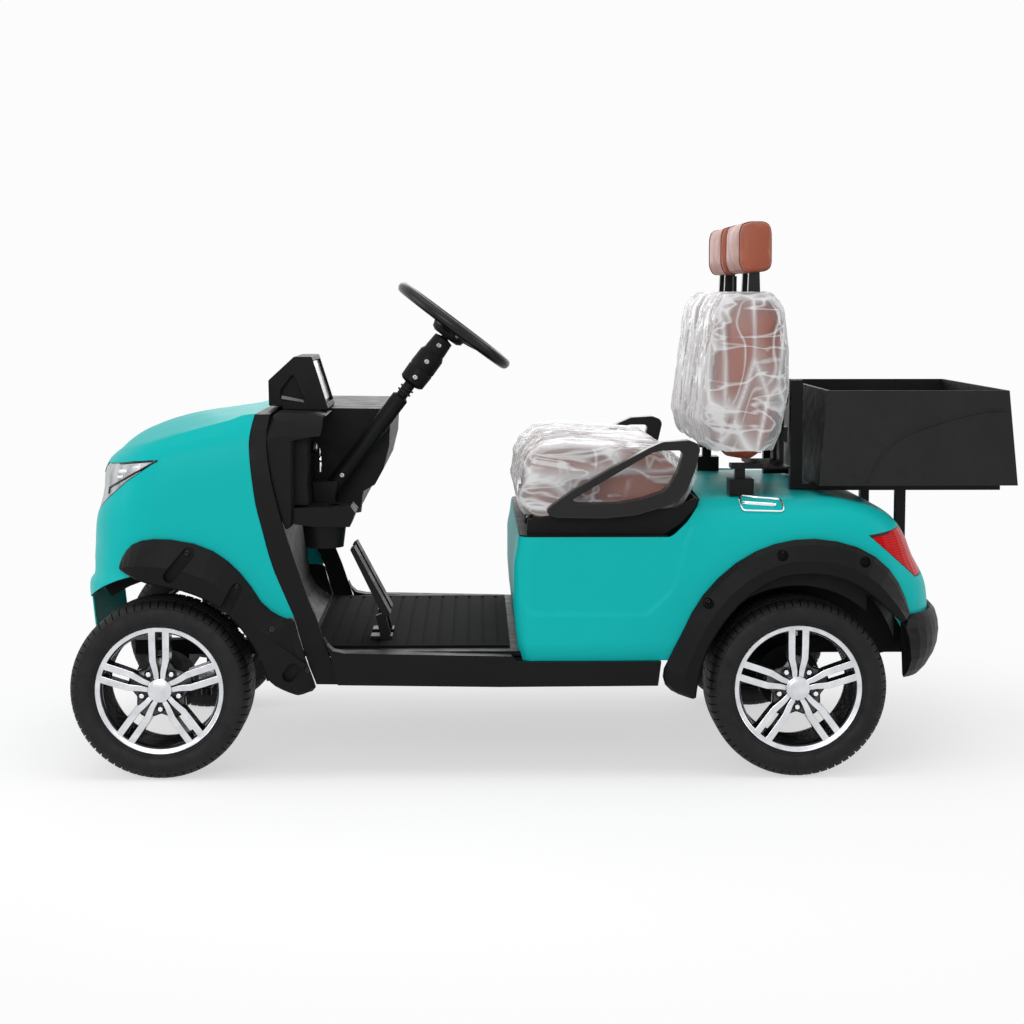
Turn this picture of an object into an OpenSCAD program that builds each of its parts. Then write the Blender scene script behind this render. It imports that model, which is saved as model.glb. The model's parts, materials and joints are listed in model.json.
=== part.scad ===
// Two-seat electric utility cart with a rear cargo box.
// +X forward, +Y to the cart's left, +Z up; the origin is on the ground below the middle of the cart.

/* [Chassis] */
// Distance between the axles
wheelbase = 1650; // [1560:10:1760]
// How far the middle of the axles lies ahead of the origin
axle_shift = 180; // [150:5:210]
// Distance between the tyres' middle planes
track = 965; // [955:5:985]
// Outside width of the body panels
body_w = 1120; // [1100:5:1150]
// Height of the floor above the axle centres
floor_rise = 94; // [84:2:104]
// Width across the frame rails
frame_w = 500; // [440:10:510]
// Height of the frame rails
rail_h = 40; // [34:1:42]

/* [Wheels] */
// Outside radius of the tyre
tyre_r = 233; // [225:1:240]
// Width of the tyre
tyre_w = 205; // [185:5:210]
// Radius of the rim's outer flange
rim_r = 165; // [158:1:172]
// Radius of the stub axle in the wheel's hub
stub_r = 16; // [13:0.5:19]
// Distance from the middle of the cart to a kingpin
kingpin_y = 400; // [392:2:404]
// Length of the steering arms
steer_arm = 100; // [90:2:104]

/* [Panels] */
// Thickness of the moulded body panels
panel_t = 5; // [4:0.5:7]
// Radius of the front wheel arch, which the steered tyre needs
front_arch_r = 302; // [298:1:312]
// Radius of the rear wheel arch
rear_arch_r = 312; // [300:2:320]
// How far a wheel-arch flare stands out of the body
flare_out = 44; // [30:2:52]

/* [Seats] */
// How far the seat box's front lies ahead of the rear axle
seat_box_ahead = 734; // [700:5:780]
// Gap between the seat cushion and an armrest
arm_gap = 28; // [15:1:60]
// Gap between the two backrests
back_gap = 24; // [10:2:60]
// How far a backrest ends inside the body's side
back_inset = 120; // [90:5:160]

/* [Cargo box] */
// Height of the cargo box's walls
box_h = 250; // [200:10:290]
// Width of the cargo box at its rim
box_rim_w = 800; // [700:10:860]
// Length of the cargo box at its rim
box_rim_l = 482; // [400:10:490]
// How much each wall leans out towards the floor
box_lean = 22; // [10:1:26]
// Thickness of the cargo box's walls
box_wall = 9; // [7:1:14]

/* [Steering] */
// Diameter of the steering wheel, to the middle of its rim
wheel_d = 336; // [300:5:350]
// Thickness of the steering wheel's rim
wheel_rim_t = 28; // [22:1:32]
// Lean of the steering column from the horizontal
column_lean = 53; // [50:1:56]
// Distance from the middle of the cart to the steering wheel
driver_y = 290; // [260:5:310]

/* [Hidden] */

teal = [0.13, 0.76, 0.74];
black = [0.13, 0.13, 0.14];
leather = [0.62, 0.31, 0.2];
steel = [0.6, 0.6, 0.62];
fit = 0.3;              // clearance between pieces that only touch
run = 0.3;              // running clearance of a shaft in its bore
free = 5;               // room that a moving piece keeps

axle_z = tyre_r;
front_x = wheelbase / 2 + axle_shift;
rear_x = -wheelbase / 2 + axle_shift;
half_w = body_w / 2;
wheel_y = track / 2;
floor_z = axle_z + floor_rise;
floor_t = 12;
rail_top = floor_z - floor_t - fit;
rail_t = 40;            // width of a rail
rail_in = frame_w / 2 - rail_t;

module at_front() { translate([front_x, 0, axle_z]) children(); }
module at_rear() { translate([rear_x, 0, axle_z]) children(); }
module both_sides() { children(); mirror([0, 1, 0]) children(); }

// A bar that runs along Y, from the given outline in X and Z.
module across(y0, y1, outline) {
    translate([0, y1, 0]) rotate([90, 0, 0]) linear_extrude(y1 - y0) polygon(outline);
}
// A cylinder along Y.
module along_y(x, z, r, y0, y1) { translate([x, y1, z]) rotate([90, 0, 0])
    cylinder(r = r, h = y1 - y0, $fn = 64); }
// A box between two heights, centred on the cart's middle plane.
module beam(x0, x1, half, z0, z1) { translate([x0, -half, z0]) cube([x1 - x0, 2 * half, z1 - z0]); }

function mix(a, b, t) = a + (b - a) * t;
function joined(lists) = [for (l = lists) for (p = l) p];
function mirrored_y(p) = [p[0], -p[1], p[2]];

// A smooth curve through a table's rows, at a row number that need not be whole.
function through(table, s) =
    let (last = len(table) - 1, i = min(floor(s), last - 1), t = s - i,
         a = table[max(i - 1, 0)], b = table[i], c = table[i + 1], d = table[min(i + 2, last)])
    0.5 * (2 * b + (c - a) * t + (2 * a - 5 * b + 4 * c - d) * t * t + (3 * b - a - 3 * c + d) * t * t * t);
function resampled(table, n) = [for (k = [0 : n]) through(table, k * (len(table) - 1) / n)];

// An outline with its corners rounded.
function rounded_corner(a, p, b, r, n) =
    let (u = a - p, v = b - p, cut = min(r, norm(u) * 0.48, norm(v) * 0.48),
         start = p + u / norm(u) * cut, end = p + v / norm(v) * cut)
    [for (k = [0 : n]) let (t = k / n) start * (1 - t) * (1 - t) + 2 * p * t * (1 - t) + end * t * t];
function soft(outline, r, n = 4) =
    let (m = len(outline))
    [for (i = [0 : m - 1]) each rounded_corner(outline[(i + m - 1) % m], outline[i], outline[(i + 1) % m],
    r, n)];

// A strip of thickness t along a path in X and Z, to the path's right.
function beside(path, i, t) =
    let (a = path[max(i - 1, 0)], b = path[min(i + 1, len(path) - 1)], d = (b - a) / norm(b - a))
    path[i] + t * [d[1], -d[0]];
function ribbon(path, t) = concat(path, [for (i = [len(path) - 1 : -1 : 0]) beside(path, i, t)]);

// A solid through closed rings of points, which all have the same number of points.
module skin(rings) {
    n = len(rings[0]);
    m = len(rings);
    sides = [for (i = [0 : m - 2], j = [0 : n - 1])
        let (a = i * n + j, b = i * n + (j + 1) % n, c = (i + 1) * n + (j + 1) % n, d = (i + 1) * n + j)
        each [[a, b, c], [a, c, d]]];
    caps = [[for (j = [n - 1 : -1 : 0]) j], [for (j = [0 : n - 1]) (m - 1) * n + j]];
    polyhedron(points = joined(rings), faces = concat(sides, caps), convexity = 8);
}

// The direction that a grid of points faces at row r and column c.
function facing(g, r, c, fold) =
    let (rows = len(g) - 1, cols = len(g[0]) - 1, q = (fold && r == rows && c == cols / 2) ? r - 1 : r,
         along = g[q][min(c + 1, cols)] - g[q][max(c - 1, 0)],
         up = g[min(r + 1, rows)][c] - g[max(r - 1, 0)][c],
         n = cross(along, up))
    n / max(norm(n), 0.001);

// The same grid moved in by t. Its middle column and a folded last row stay on the plane y = 0.
function inset_grid(g, t, fold) =
    let (rows = len(g) - 1, mid = (len(g[0]) - 1) / 2)
    [for (r = [0 : rows]) [for (c = [0 : len(g[0]) - 1])
        let (n = facing(g, r, c, fold), flat = max(norm([n[0], n[2]]), 0.2),
             p = g[r][c] - (((fold && r == rows) || c == mid) ? [n[0], 0, n[2]] / flat : n) * t)
        p]];

// The rows and columns of a grid between the given ones.
function part_of(g, r0, r1, c0, c1) = [for (r = [r0 : r1]) [for (c = [c0 : c1]) g[r][c]]];

// A panel between two grids of points. With fold, the last row's two halves meet on the plane y = 0.
module panel(outer, inner, fold = false) {
    rows = len(outer) - 1;
    cols = len(outer[0]) - 1;
    mid = cols / 2;
    function at(g, r, c) = g * (rows + 1) * (cols + 1) + r * (cols + 1)
        + ((fold && r == rows && c > mid) ? cols - c : c);
    skin_faces = [for (r = [0 : rows - 1], c = [0 : cols - 1]) each [
        [at(0, r, c), at(0, r + 1, c), at(0, r + 1, c + 1)], [at(0, r, c), at(0, r + 1, c + 1),
        at(0, r, c + 1)],
        [at(1, r, c), at(1, r + 1, c + 1), at(1, r + 1, c)], [at(1, r, c), at(1, r, c + 1),
        at(1, r + 1, c + 1)]]];
    low = [for (c = [0 : cols - 1]) each [
        [at(0, 0, c), at(0, 0, c + 1), at(1, 0, c + 1)], [at(0, 0, c), at(1, 0, c + 1), at(1, 0, c)]]];
    high = fold ? [] : [for (c = [0 : cols - 1]) each [
        [at(0, rows, c), at(1, rows, c + 1), at(0, rows, c + 1)], [at(0, rows, c), at(1, rows, c),
        at(1, rows, c + 1)]]];
    ends = [for (r = [0 : rows - 1]) each [
        [at(0, r, 0), at(1, r + 1, 0), at(0, r + 1, 0)], [at(0, r, 0), at(1, r, 0), at(1, r + 1, 0)],
        [at(0, r, cols), at(0, r + 1, cols), at(1, r + 1, cols)], [at(0, r, cols), at(1, r + 1, cols),
        at(1, r, cols)]]];
    polyhedron(points = concat(joined(outer), joined(inner)),
               faces = concat(skin_faces, low, high, ends), convexity = 12);
}

// Front cowl. Its rows are measured from the front axle's centre:
// [height at the side, height at the nose, nose ahead, rear edge ahead, narrower by]
cowl_rows = [    [187, 62, 218, -348, 3], [237, 160, 228, -327, 0], [277, 243, 233, -310, 0],
    [307, 270, 219, -298, 0],
    [357, 310, 217, -282, 0], [417, 352, 214, -267, 0], [477, 400, 212, -252, 2], [537, 440, 204, -243, 4],
    [592, 490, 190, -237, 8], [637, 545, 186, -235, 14], [672, 582, 169, -239, 27],
    [709, 609, 137, -247, 54]];
cowl_spine = [[-262, 712], [-204, 706], [-136, 699], [-68, 690], [0, 676], [68, 655], [124, 622],
    [137, 609]];
// How much of the rise from the nose to the rear edge the hood's edge has left at each place
hood_fall = [[-230, 1], [-183, 0.85], [-105, 0.65], [-60, 0.52], [-2, 0.34], [62, 0.16], [109, 0.05],
    [137, 0]];
fall_from = 357;        // height where the sides start to follow that fall
cowl_turn = -60;        // where the sides start to turn towards the nose
cowl_round = 3.2;       // how square that turn is
cowl_fine = 20;         // rows between the lower edge and the hood
nose_cols = 12;
side_cols = 4;
top_rows = 5;
last_col = nose_cols + side_cols;

// Half columns run from the nose, 0, to the rear edge, last_col.
function turned(row, c, turn_x, square, end_x) =
    let (turn = 90 * min(c, nose_cols) / nose_cols, along = max(c - nose_cols, 0) / side_cols,
        w = half_w - row[4])
    [mix(turn_x + (row[2] - turn_x) * pow(cos(turn), 2 / square), end_x, along),
     w * pow(sin(turn), 2 / square), mix(row[1], row[0], pow(sin(turn), 2))];
function crowned(edge, q, c, spine, x0, x1) =
    let (x = mix(x0, x1, pow(c / last_col, 1.5)))
    [mix(edge[0], x, q), edge[1] * (1 - q), mix(edge[2], lookup(x, spine), 1 - pow(1 - q, 2))];
// Both halves: the columns run from the right rear edge to the left one.
function whole_row(half) = concat([for (c = [len(half) - 1 : -1 : 1]) mirrored_y(half[c])], half);
cowl_side_rows = resampled(cowl_rows, cowl_fine);
function cowl_half(row) = [for (c = [0 : last_col])
    let (p = turned(row, c, cowl_turn, cowl_round, row[3]), top = cowl_rows[len(cowl_rows) - 1][0],
         k = min(max((row[0] - fall_from) / (top - fall_from), 0), 1))
    [p[0], p[1], mix(p[2], mix(row[1], row[0], lookup(p[0], hood_fall)), k)]];
cowl_edge = cowl_half(cowl_side_rows[cowl_fine]);
cowl_grid = concat(
    [for (row = cowl_side_rows) whole_row(cowl_half(row))],
    [for (k = [1 : top_rows])
        whole_row([for (c = [0 : last_col]) crowned(cowl_edge[c], k / top_rows, c, cowl_spine, 137,
            -262)])]);

arch_inner_y = kingpin_y - 145;     // how near the middle a wheel well reaches
lamp_inner_y = half_w - 310;
lamp_outline = [[230, 470], [152, 575], [60, 590], [-4, 594], [80, 538], [150, 480], [190, 440],
    [230, 440]];
lamp_inside = [[229, 472], [153, 573], [60, 588], [2, 592], [81, 540], [151, 482], [190, 442], [229, 442]];
grille_z = [306, 388];
grille_half = half_w - 290;

module grille_prism(grow = 0) {
    translate([120, -grille_half - grow, grille_z[0] - grow])
        cube([120, 2 * (grille_half + grow), grille_z[1] - grille_z[0] + 2 * grow]);
}
module arch(r, y0, y1) { translate([0, y0, 0]) rotate([-90, 0, 0]) cylinder(r = r, h = y1 - y0, $fn = 96); }

module cowl() {
    color(teal) at_front() difference() {
        panel(cowl_grid, inset_grid(cowl_grid, panel_t, true), true);
        both_sides() arch(front_arch_r, arch_inner_y, half_w + 80);
        both_sides() across(lamp_inner_y, half_w + 60, lamp_outline);
        grille_prism();
    }
}
lamp_depth = 26;
function lamp_part(g) = part_of(g, 9, cowl_fine, 1, 2 * last_col - 1);
function grille_part(g) = part_of(g, 4, 11, last_col - 5, last_col + 5);
module headlamps() {
    color([0.85, 0.88, 0.9]) at_front() intersection() {
        panel(lamp_part(inset_grid(cowl_grid, 0.8, true)), lamp_part(inset_grid(cowl_grid, lamp_depth,
            true)));
        both_sides() across(lamp_inner_y + fit, half_w + 60, lamp_inside);
    }
}
module nose_grille() {
    slats = 5;
    pitch = (grille_z[1] - grille_z[0]) / slats;
    color(black) at_front() intersection() {
        panel(grille_part(inset_grid(cowl_grid, -3, true)), grille_part(inset_grid(cowl_grid, 22, true)));
        difference() {
            grille_prism(-fit);
            for (i = [0 : slats - 1])
                translate([100, -grille_half + 18, grille_z[0] + pitch * (i + 0.28)])
                    cube([160, 2 * grille_half - 36, pitch * 0.5]);
        }
    }
}

// The black band that frames the cockpit, from sill to sill over the dashboard's top:
// [height, front edge ahead, rear edge ahead, narrower by], from the front axle's centre
band_rows = [[14, -406, -458, 0], [60, -388, -446, 0], [120, -369, -426, 0], [187, -351, -404, 0],
    [237, -330, -384, 0],
             [297, -305, -364, 0], [357, -285, -343, 0], [417, -270, -323, 0], [477, -255, -306, 2],
             [537, -246, -292, 4],
             [592, -240, -283, 8], [637, -238, -279, 14], [672, -243, -280, 27], [709, -251, -286, 54]];
band_t = 14;
band_seam = 2.4;        // how far the front edge comes up to the cowl
band_proud = 3;
function band_edge(side) =    let (half = [for (r = band_rows) [r[side] + (side == 1 ? band_seam : 0),
    half_w - r[3] + (side == 2 ? band_proud : 0), r[0]]],
         last = half[len(half) - 1],
         top = [for (k = [1 : top_rows]) let (q = k / top_rows)
             [mix(last[0], side == 1 ? -265 + band_seam : -302, q), last[1] * (1 - q),
              mix(last[2], side == 1 ? 714 : 719, 1 - pow(1 - q, 2))]],
         all = concat(half, top), n = len(all) - 1)
    concat(all, [for (i = [n - 1 : -1 : 0]) mirrored_y(all[i])]);
module cowl_band() {
    front = band_edge(1);
    back = band_edge(2);
    grid = [for (k = [0 : 3]) [for (i = [0 : len(front) - 1])
        mix(back[i], front[i], k / 3) + [0, 0, 0]]];
    color(black) at_front() panel(grid, inset_grid(grid, band_t, false));
}

// Flares. [angle about the axle, inner radius, outer radius], angles from straight ahead, upwards
front_flare = [[73, 326, 344], [76, 310, 364], [80, 294, 383], [86, 280, 392], [95, 272, 393],
    [108, 269, 391],               [118, 269, 381], [128, 269, 366], [139, 269, 350], [146, 269, 359],
    [150.5, 270, 378],
               [152, 271, 392.5], [156, 272, 388], [160, 273, 384.5], [168, 276, 386], [173.3, 284, 392.5],
               [177, 300, 399], [179.6, 326, 401], [181, 348, 378]];
rear_flare = [[-4, 268, 290], [-1.5, 266, 322], [2, 264, 346], [7, 262, 354], [12, 261, 347],
              [18, 260, 340], [27, 261, 336], [40, 263, 345], [54, 272, 357],
              [68, 284, 371], [80, 296, 382], [92, 300, 390], [104, 305, 395], [116, 307, 397],
              [127, 306, 388],
              [137, 306, 371], [147, 317, 352]];
function flare_rings(table) = round(1.5 * (len(table) - 1));
flare_lip = 9;
flare_lift = 1.6;       // a flare's seat outside the body panel where the panel turns in
function cowl_side(x) = x < cowl_turn ? half_w
    : half_w * pow(1 - pow(min((x - cowl_turn) / (cowl_rows[3][2] - cowl_turn), 1), cowl_round),
        1 / cowl_round);
function tail_side(x) = x > tail_turn ? half_w
    : half_w * pow(1 - pow(min((tail_turn - x) / tail_len, 1), tail_round), 1 / tail_round);
function side_at(front, x) = front ? cowl_side(x) : tail_side(x);
// A flare's closed section at one angle: the lip that turns in, the face round the arch and the slope to
// the body.
function flare_ring(s, arch_r, front) =    let (a = s[0], ri = s[1], ro = s[2], ridge = mix(ri, ro, 0.42),
         lift = side_at(front, arch_r * cos(a)) == half_w ? 2 * fit : flare_lift,
         inside = ri + flare_lip + 8 < arch_r ? -flange_in : lift)
    [for (p = [[ri, inside], [ri, flare_out - 12], [ri + 5, flare_out - 5], [ridge, flare_out],
               [mix(ridge, ro, 0.75), flare_out * 0.55], [ro, 10], [ro, lift],
               [mix(ri + flare_lip, ro, 0.5), lift], [ri + flare_lip, lift],
               [ri + flare_lip, inside]])
        [p[0] * cos(a), p[1] + side_at(front, max(p[0], arch_r) * cos(a)), p[0] * sin(a)]];
// The wheel well behind a flare. Its outer lip, of the given width, reaches in to the flare's flange.
liner_t = 3;
flange_in = 20;         // how far a flare's flange reaches inside the body's side
module flare_liner(front, r, y0, a0, a1, lip) {
    y1 = half_w - flange_in - fit;
    deep = y1 - y0;
    way = front ? 1 : -1;
    plan = [for (x = [-60, 0, 40, 80, 120, 160, 190, 205, 230])
        [x * way, min(y1, max(side_at(front, x * way), y0) - flange_in - 2 * fit)]];
    intersection() {
        translate([0, y1, 0]) rotate([90, 0, 0]) rotate([0, 0, a0]) rotate_extrude(angle = a1 - a0,
            $fn = 96)
            polygon([[r - lip, 0], [r, 0], [r, deep], [r - liner_t, deep], [r - liner_t, liner_t],
                     [r - lip, liner_t]]);
        linear_extrude(500) polygon(concat([[-420 * way, 0], [-420 * way, y1]], plan, [[230 * way, 0]]));
    }
}
// A pocket with round ends in a flare's face, between two points in X and Z.
module pocket(a, b, r, floor_y) {
    d = b - a;
    translate([a[0], half_w + 90, a[1]]) rotate([90, 0, 0]) rotate([0, 0, atan2(d[1], d[0])])
        linear_extrude(90 - floor_y) {
            circle(r = r, $fn = 48);
            translate([norm(d), 0]) circle(r = r, $fn = 48);
            translate([0, -r]) square([norm(d), 2 * r]);
        }
}
module front_flares() {
    color(black) at_front() both_sides() difference() {
        union() {
            skin([for (s = resampled(front_flare, flare_rings(front_flare)))
                flare_ring(s, front_arch_r, true)]);
            // the raised block above its foot
            across(half_w + 6, half_w + flare_out - 1, [[-286, 141], [-378, 75], [-342, 42], [-256, 88]]);
            flare_liner(true, front_arch_r - 1, kingpin_y - 100, 50, 176, 27);
        }
        pocket([-82, 358], [-34, 300], 16, 14);
        pocket([-203, 266], [-172, 206], 15, 18);
        pocket([-348, 60], [-336, 44], 17, 20);
    }
}
module rear_flares() {
    color(black) at_rear() both_sides() difference() {
        union() {
            skin([for (s = resampled(rear_flare, flare_rings(rear_flare)))
                flare_ring(s, rear_arch_r, false)]);
            flare_liner(false, rear_arch_r - 1, wheel_y - 182, 12, 150, 45);
        }
        pocket([237, 226], [237.5, 226], 14, 12);
        pocket([48, 350], [48.5, 350], 14, 14);
        pocket([-165, 332], [-165.5, 332], 14, 6);
    }
}

// Rear body, from the rear axle's centre: [height at the side, height at the tail, tail behind, unused,
// narrower by]
tail_rows = [[120, 150, -388, 0, 0], [190, 205, -389, 0, 0], [260, 262, -378, 0, 0], [330, 320, -346, 0, 0],
             [377, 370, -326, 0, 2], [417, 405, -304, 0, 8], [448, 438, -268, 0, 22],
             [470, 460, -215, 0, 46],
             [484, 472, -150, 0, 82]];
tail_spine = [[-150, 472], [-112, 478], [-40, 488], [60, 494], [140, 496], [250, 496]];
tail_turn = -60;
tail_round = 4.0;
tail_len = tail_turn - tail_rows[0][2];
tail_fine = 13;
tail_front = 250;       // where the tail meets the seat box, ahead of the rear axle
tail_side_rows = resampled(tail_rows, tail_fine);
function tail_half(row) = [for (c = [0 : last_col]) turned(row, c, tail_turn, tail_round, tail_front)];
tail_edge = tail_half(tail_side_rows[tail_fine]);
// The columns run from the left front edge round the tail to the right one.
function tail_row(half) = [for (p = whole_row(half)) mirrored_y(p)];
tail_grid = concat(
    [for (row = tail_side_rows) tail_row(tail_half(row))],
    [for (k = [1 : top_rows])
        tail_row([for (c = [0 : last_col]) crowned(tail_edge[c], k / top_rows, c, tail_spine, -150,
            tail_front)])]);

// Seat box walls: how far the side pulls in at a height, and the top edge's height along the side.
side_profile = [[70, 5], [120, 0], [330, 0], [377, 2], [417, 8], [448, 22], [470, 46], [484, 82]];
box_top = [[-400, 484], [258, 484], [262, 468], [296, 426], [340, 394], [900, 394]];
riser_profile = [[70, -14], [106, -8], [160, -2], [230, 2], [310, 2], [360, -6], [394, -10]];
corner_r = 46;
wall_rows = 10;
wall_low = 73;
function wall_point(x, y, q) =
    let (z = mix(abs(y) > half_w - 20 ? wall_low : floor_rise + 2 * fit, lookup(x, box_top), q),
         pinch = lookup(z, side_profile),
         bulge = lookup(z, riser_profile) * max(0, (x - seat_box_ahead + corner_r) / corner_r))
    [x + bulge, y > 0 ? max(y - pinch, 0) : min(y + pinch, 0), z];
corner_start = seat_box_ahead - corner_r;
wall_plan = concat(
    [for (x = [tail_front - 6, 262, 280, 296, 318, 340]) [x, half_w]],
    [for (t = [0.3 : 0.35 : 1]) [mix(340, corner_start, t), half_w]],
    [for (a = [0 : 15 : 90]) [corner_start + corner_r * sin(a), half_w - corner_r + corner_r * cos(a)]],
    [[seat_box_ahead, half_w * 0.45]]);
wall_line = concat([for (p = wall_plan) mirrored_y(p)], [[seat_box_ahead, 0]],
                   [for (i = [len(wall_plan) - 1 : -1 : 0]) wall_plan[i]]);
wall_grid = [for (k = [0 : wall_rows]) [for (p = wall_line) wall_point(p[0], p[1], k / wall_rows)]];

tail_lamp_inner_y = half_w - 230;
strut_x = -329;         // the cargo box's rear struts, behind the rear axle
strut_w = [26, 30];
module strut_slot() {
    translate([strut_x - 4, frame_w / 2 - 4, 250]) cube([strut_w[0] + 8, strut_w[1] + 8, 200]);
}
module rear_body() {
    color(teal) at_rear() difference() {
        union() {
            panel(tail_grid, inset_grid(tail_grid, panel_t, true), true);
            panel(wall_grid, inset_grid(wall_grid, panel_t, false));
        }
        both_sides() arch(rear_arch_r, arch_inner_y, half_w + 80);
        both_sides() across(tail_lamp_inner_y, half_w + 60,
                            [[-180, 397], [-262, 408], [-400, 408], [-400, 279], [-318, 279]]);
        both_sides() strut_slot();
    }
}
function tail_lamp_part(g) = part_of(g, 2, tail_fine - 3, 1, 2 * last_col - 1);
module tail_lamps() {
    color([0.8, 0.05, 0.05]) at_rear() intersection() {
        panel(tail_lamp_part(inset_grid(tail_grid, 0.8, true)), tail_lamp_part(inset_grid(tail_grid, 24,
            true)));
        both_sides() across(tail_lamp_inner_y + fit, half_w + 60,
                            [[-183, 396], [-262, 406], [-399, 406], [-399, 281], [-319, 281]]);
    }
}

module frame() {
    rear_end = rear_x + strut_x - 9;
    color(black) {
        both_sides() translate([rear_end, rail_in, rail_top - rail_h]) cube([front_x + 110 - rear_end,
            rail_t, rail_h]);
        both_sides() translate([rear_end, frame_w / 2 - 1, rail_top - 20])
            cube([50, strut_w[1] + 2, 20]);    }
}
module cross_members() {    color(black) {
        for (x = [rear_x - 240, rear_x + 250, rear_x + 765, front_x - 585, front_x - 100, front_x + 70])
            beam(x, x + 40, rail_in - fit, rail_top - rail_h + 3, rail_top - 3);
        // steering gearbox
        translate([front_x - steer_arm - 12, pitman_y - 32, rail_top - rail_h + 3]) cube([64, 64, 60]);
    }
}
// Outriggers that carry the sills
module outriggers() {
    color(black) {
        both_sides() for (x = [rear_x + 425, rear_x + 705, front_x - 505])
            translate([x, frame_w / 2 + fit, rail_top - 26])
                cube([34, half_w - 32 - fit - frame_w / 2 - fit, 22]);
    }
}

floor_front = -365;     // the floor's front edge, from the front axle
bulkhead_x = -297;      // the bulkhead's rear face, from the front axle
module floor_pan() {
    edge_y = half_w - 32 - fit;
    color(black) difference() {
        union() {
            beam(rear_x + 305, front_x + floor_front, edge_y, floor_z - floor_t, floor_z);
            beam(rear_x + 225, rear_x + 325, frame_w / 2 - 10, floor_z - floor_t,
                floor_z);            at_front() across(-edge_y + 8, edge_y - 8,
                ribbon([[-373, floor_rise - 1], [-350, 108], [-325, 132], [-308, 165], [-301, 217],
                    [bulkhead_x, 327], [-297, 407]],
                       floor_t - 4));
        }
        translate([front_x - steer_arm - 14, pitman_y - 34, rail_top - rail_h]) cube([68, 68, 100]);
    }
}
module floor_mat() {
    x0 = rear_x + seat_box_ahead + 11;
    x1 = front_x + floor_front - 20;
    ribs = 13;
    color([0.2, 0.2, 0.21]) difference() {
        beam(x0, x1, half_w - 90, floor_z + fit, floor_z + 6);
        for (i = [0 : ribs - 1])
            beam(mix(x0, x1, (i + 0.6) / ribs), mix(x0, x1, (i + 0.6) / ribs) + 8, half_w - 110,
                floor_z + 3, floor_z + 10);
    }
}
module sills() {
    rear_end = rear_x + 356;
    riser = rear_x + seat_box_ahead;
    color(black) both_sides() across(half_w - 32, half_w + 16,        [[front_x - 459.4, 247],
        [front_x - 447.4, 293], [front_x - 439, floor_z + 4], [front_x - 434, floor_z + 14],
        [front_x - 423.4, floor_z + 42],
         [front_x - 432, floor_z + 24], [front_x - 448, floor_z + 9], [front_x - 478, floor_z + 3],
         [riser + 9, floor_z - 6], [riser - 7, 305.7],
        [rear_end, 305.7],
         [rear_end + 8, 243], [riser + 39, 241]]);
}

// Dashboard, from the front axle's centre.
dash_front = -303.4;
dash_path = [[dash_front, 713.2], [-402, 711], [-560, 709], [-578, 700], [-585, 670], [-582, 610],
    [-566, 545],
    [-543, 503],
             [-511, 485], [-505, 443], [-485, 423], [-445, 411], [dash_front, 407]];
knee_path = [[dash_front, 713.2], [-402, 711], [-429, 704], [-392, 662], [-380, 640], [-378, 520],
    [-384, 430], [dash_front, 418]];
dash_end_y = half_w - 80;
dash_deep_y = driver_y - 62;    // the deep part ends here and leaves the driver's knees room
pillar = [[-324.5, 418], [-307.5, 477], [-293.5, 537], [-284.5, 592], [-280.5, 637], [-282, 672],
    [-288, 700], [-300, 713.6], [-402, 711], [-429, 704], [-382, 662], [-357, 655], [-347, 644],
    [-341, 566], [-345, 424], [-335, 412]];
// [inner side, outer side, share kept of the part above 650], lower towards the side like the band
pillar_steps = [[dash_end_y + 6 + fit, half_w - 60, 0.88], [half_w - 60.5, half_w - 40, 0.5],
    [half_w - 40.5, half_w - 16, 0.04]];
tray_y = [half_w - 180, half_w - 40];
cup_at = [-420, half_w - 110];
module tray_room() { translate([-515, tray_y[0] - fit, 367]) cube([220, tray_y[1] - tray_y[0] + 2 * fit,
    105]); }
module dashboard() {
    color(black) at_front() difference() {
        union() {
            across(-dash_end_y, dash_deep_y, ribbon(dash_path, -5));
            across(-dash_end_y - 6, 0.5 - dash_end_y, dash_path);
            across(dash_deep_y - 0.5, dash_deep_y + 5.5, dash_path);
        }
        both_sides() tray_room();
    }
}
// Shallower panel in front of the driver's knees
module knee_panel() {
    color(black) at_front() difference() {
        union() {
            across(dash_deep_y + 5.5 + fit, dash_end_y, ribbon(knee_path, -5));
            across(dash_end_y - 0.5, dash_end_y + 6, knee_path);
        }
        tray_room();
    }
}
module dash_pillars() {
    color(black) at_front() both_sides() difference() {
        for (s = pillar_steps)
            across(s[0], s[1], [for (p = pillar) [p[0], p[1] > 650 ? mix(650, p[1], s[2]) : p[1]]]);
        tray_room();
    }
}
pod_y = [driver_y - 220, driver_y + 60];
module display_pod() {
    color(black) at_front() difference() {
        across(pod_y[0], pod_y[1],
            [[-305, 713.6], [-305, 722.5], [-269, 722.5], [-268, 791], [-335, 853], [-384, 853],
            [-428, 711.4],
             [-402, 711.4]]);
        across(pod_y[0] + 14, pod_y[1] - 14, [[-445, 731], [-411, 725], [-375, 841], [-405, 841]]);
    }
}
module display_screen() {
    color([0.75, 0.78, 0.8]) at_front() across(pod_y[0] + 15, pod_y[1] - 15,
        [[-414.1, 734], [-409.1, 732.5], [-376.9, 836], [-381.9, 838]]);
}
cup_r = 40;
module cup_trays() {
    color(black) at_front() both_sides() difference() {
        union() {
            across(tray_y[0], tray_y[1], [[-505, 455], [-492, 471.6], [-470, 470], [-304, 466], [-304, 432],
                [-400, 418], [-490, 418]]);
            translate([cup_at[0], cup_at[1], 360]) cylinder(r1 = cup_r + 10, r2 = cup_r + 18, h = 64,
                $fn = 64);
        }
        translate([cup_at[0], cup_at[1], 366]) cylinder(r = cup_r, h = 120, $fn = 64);
    }
}
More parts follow.
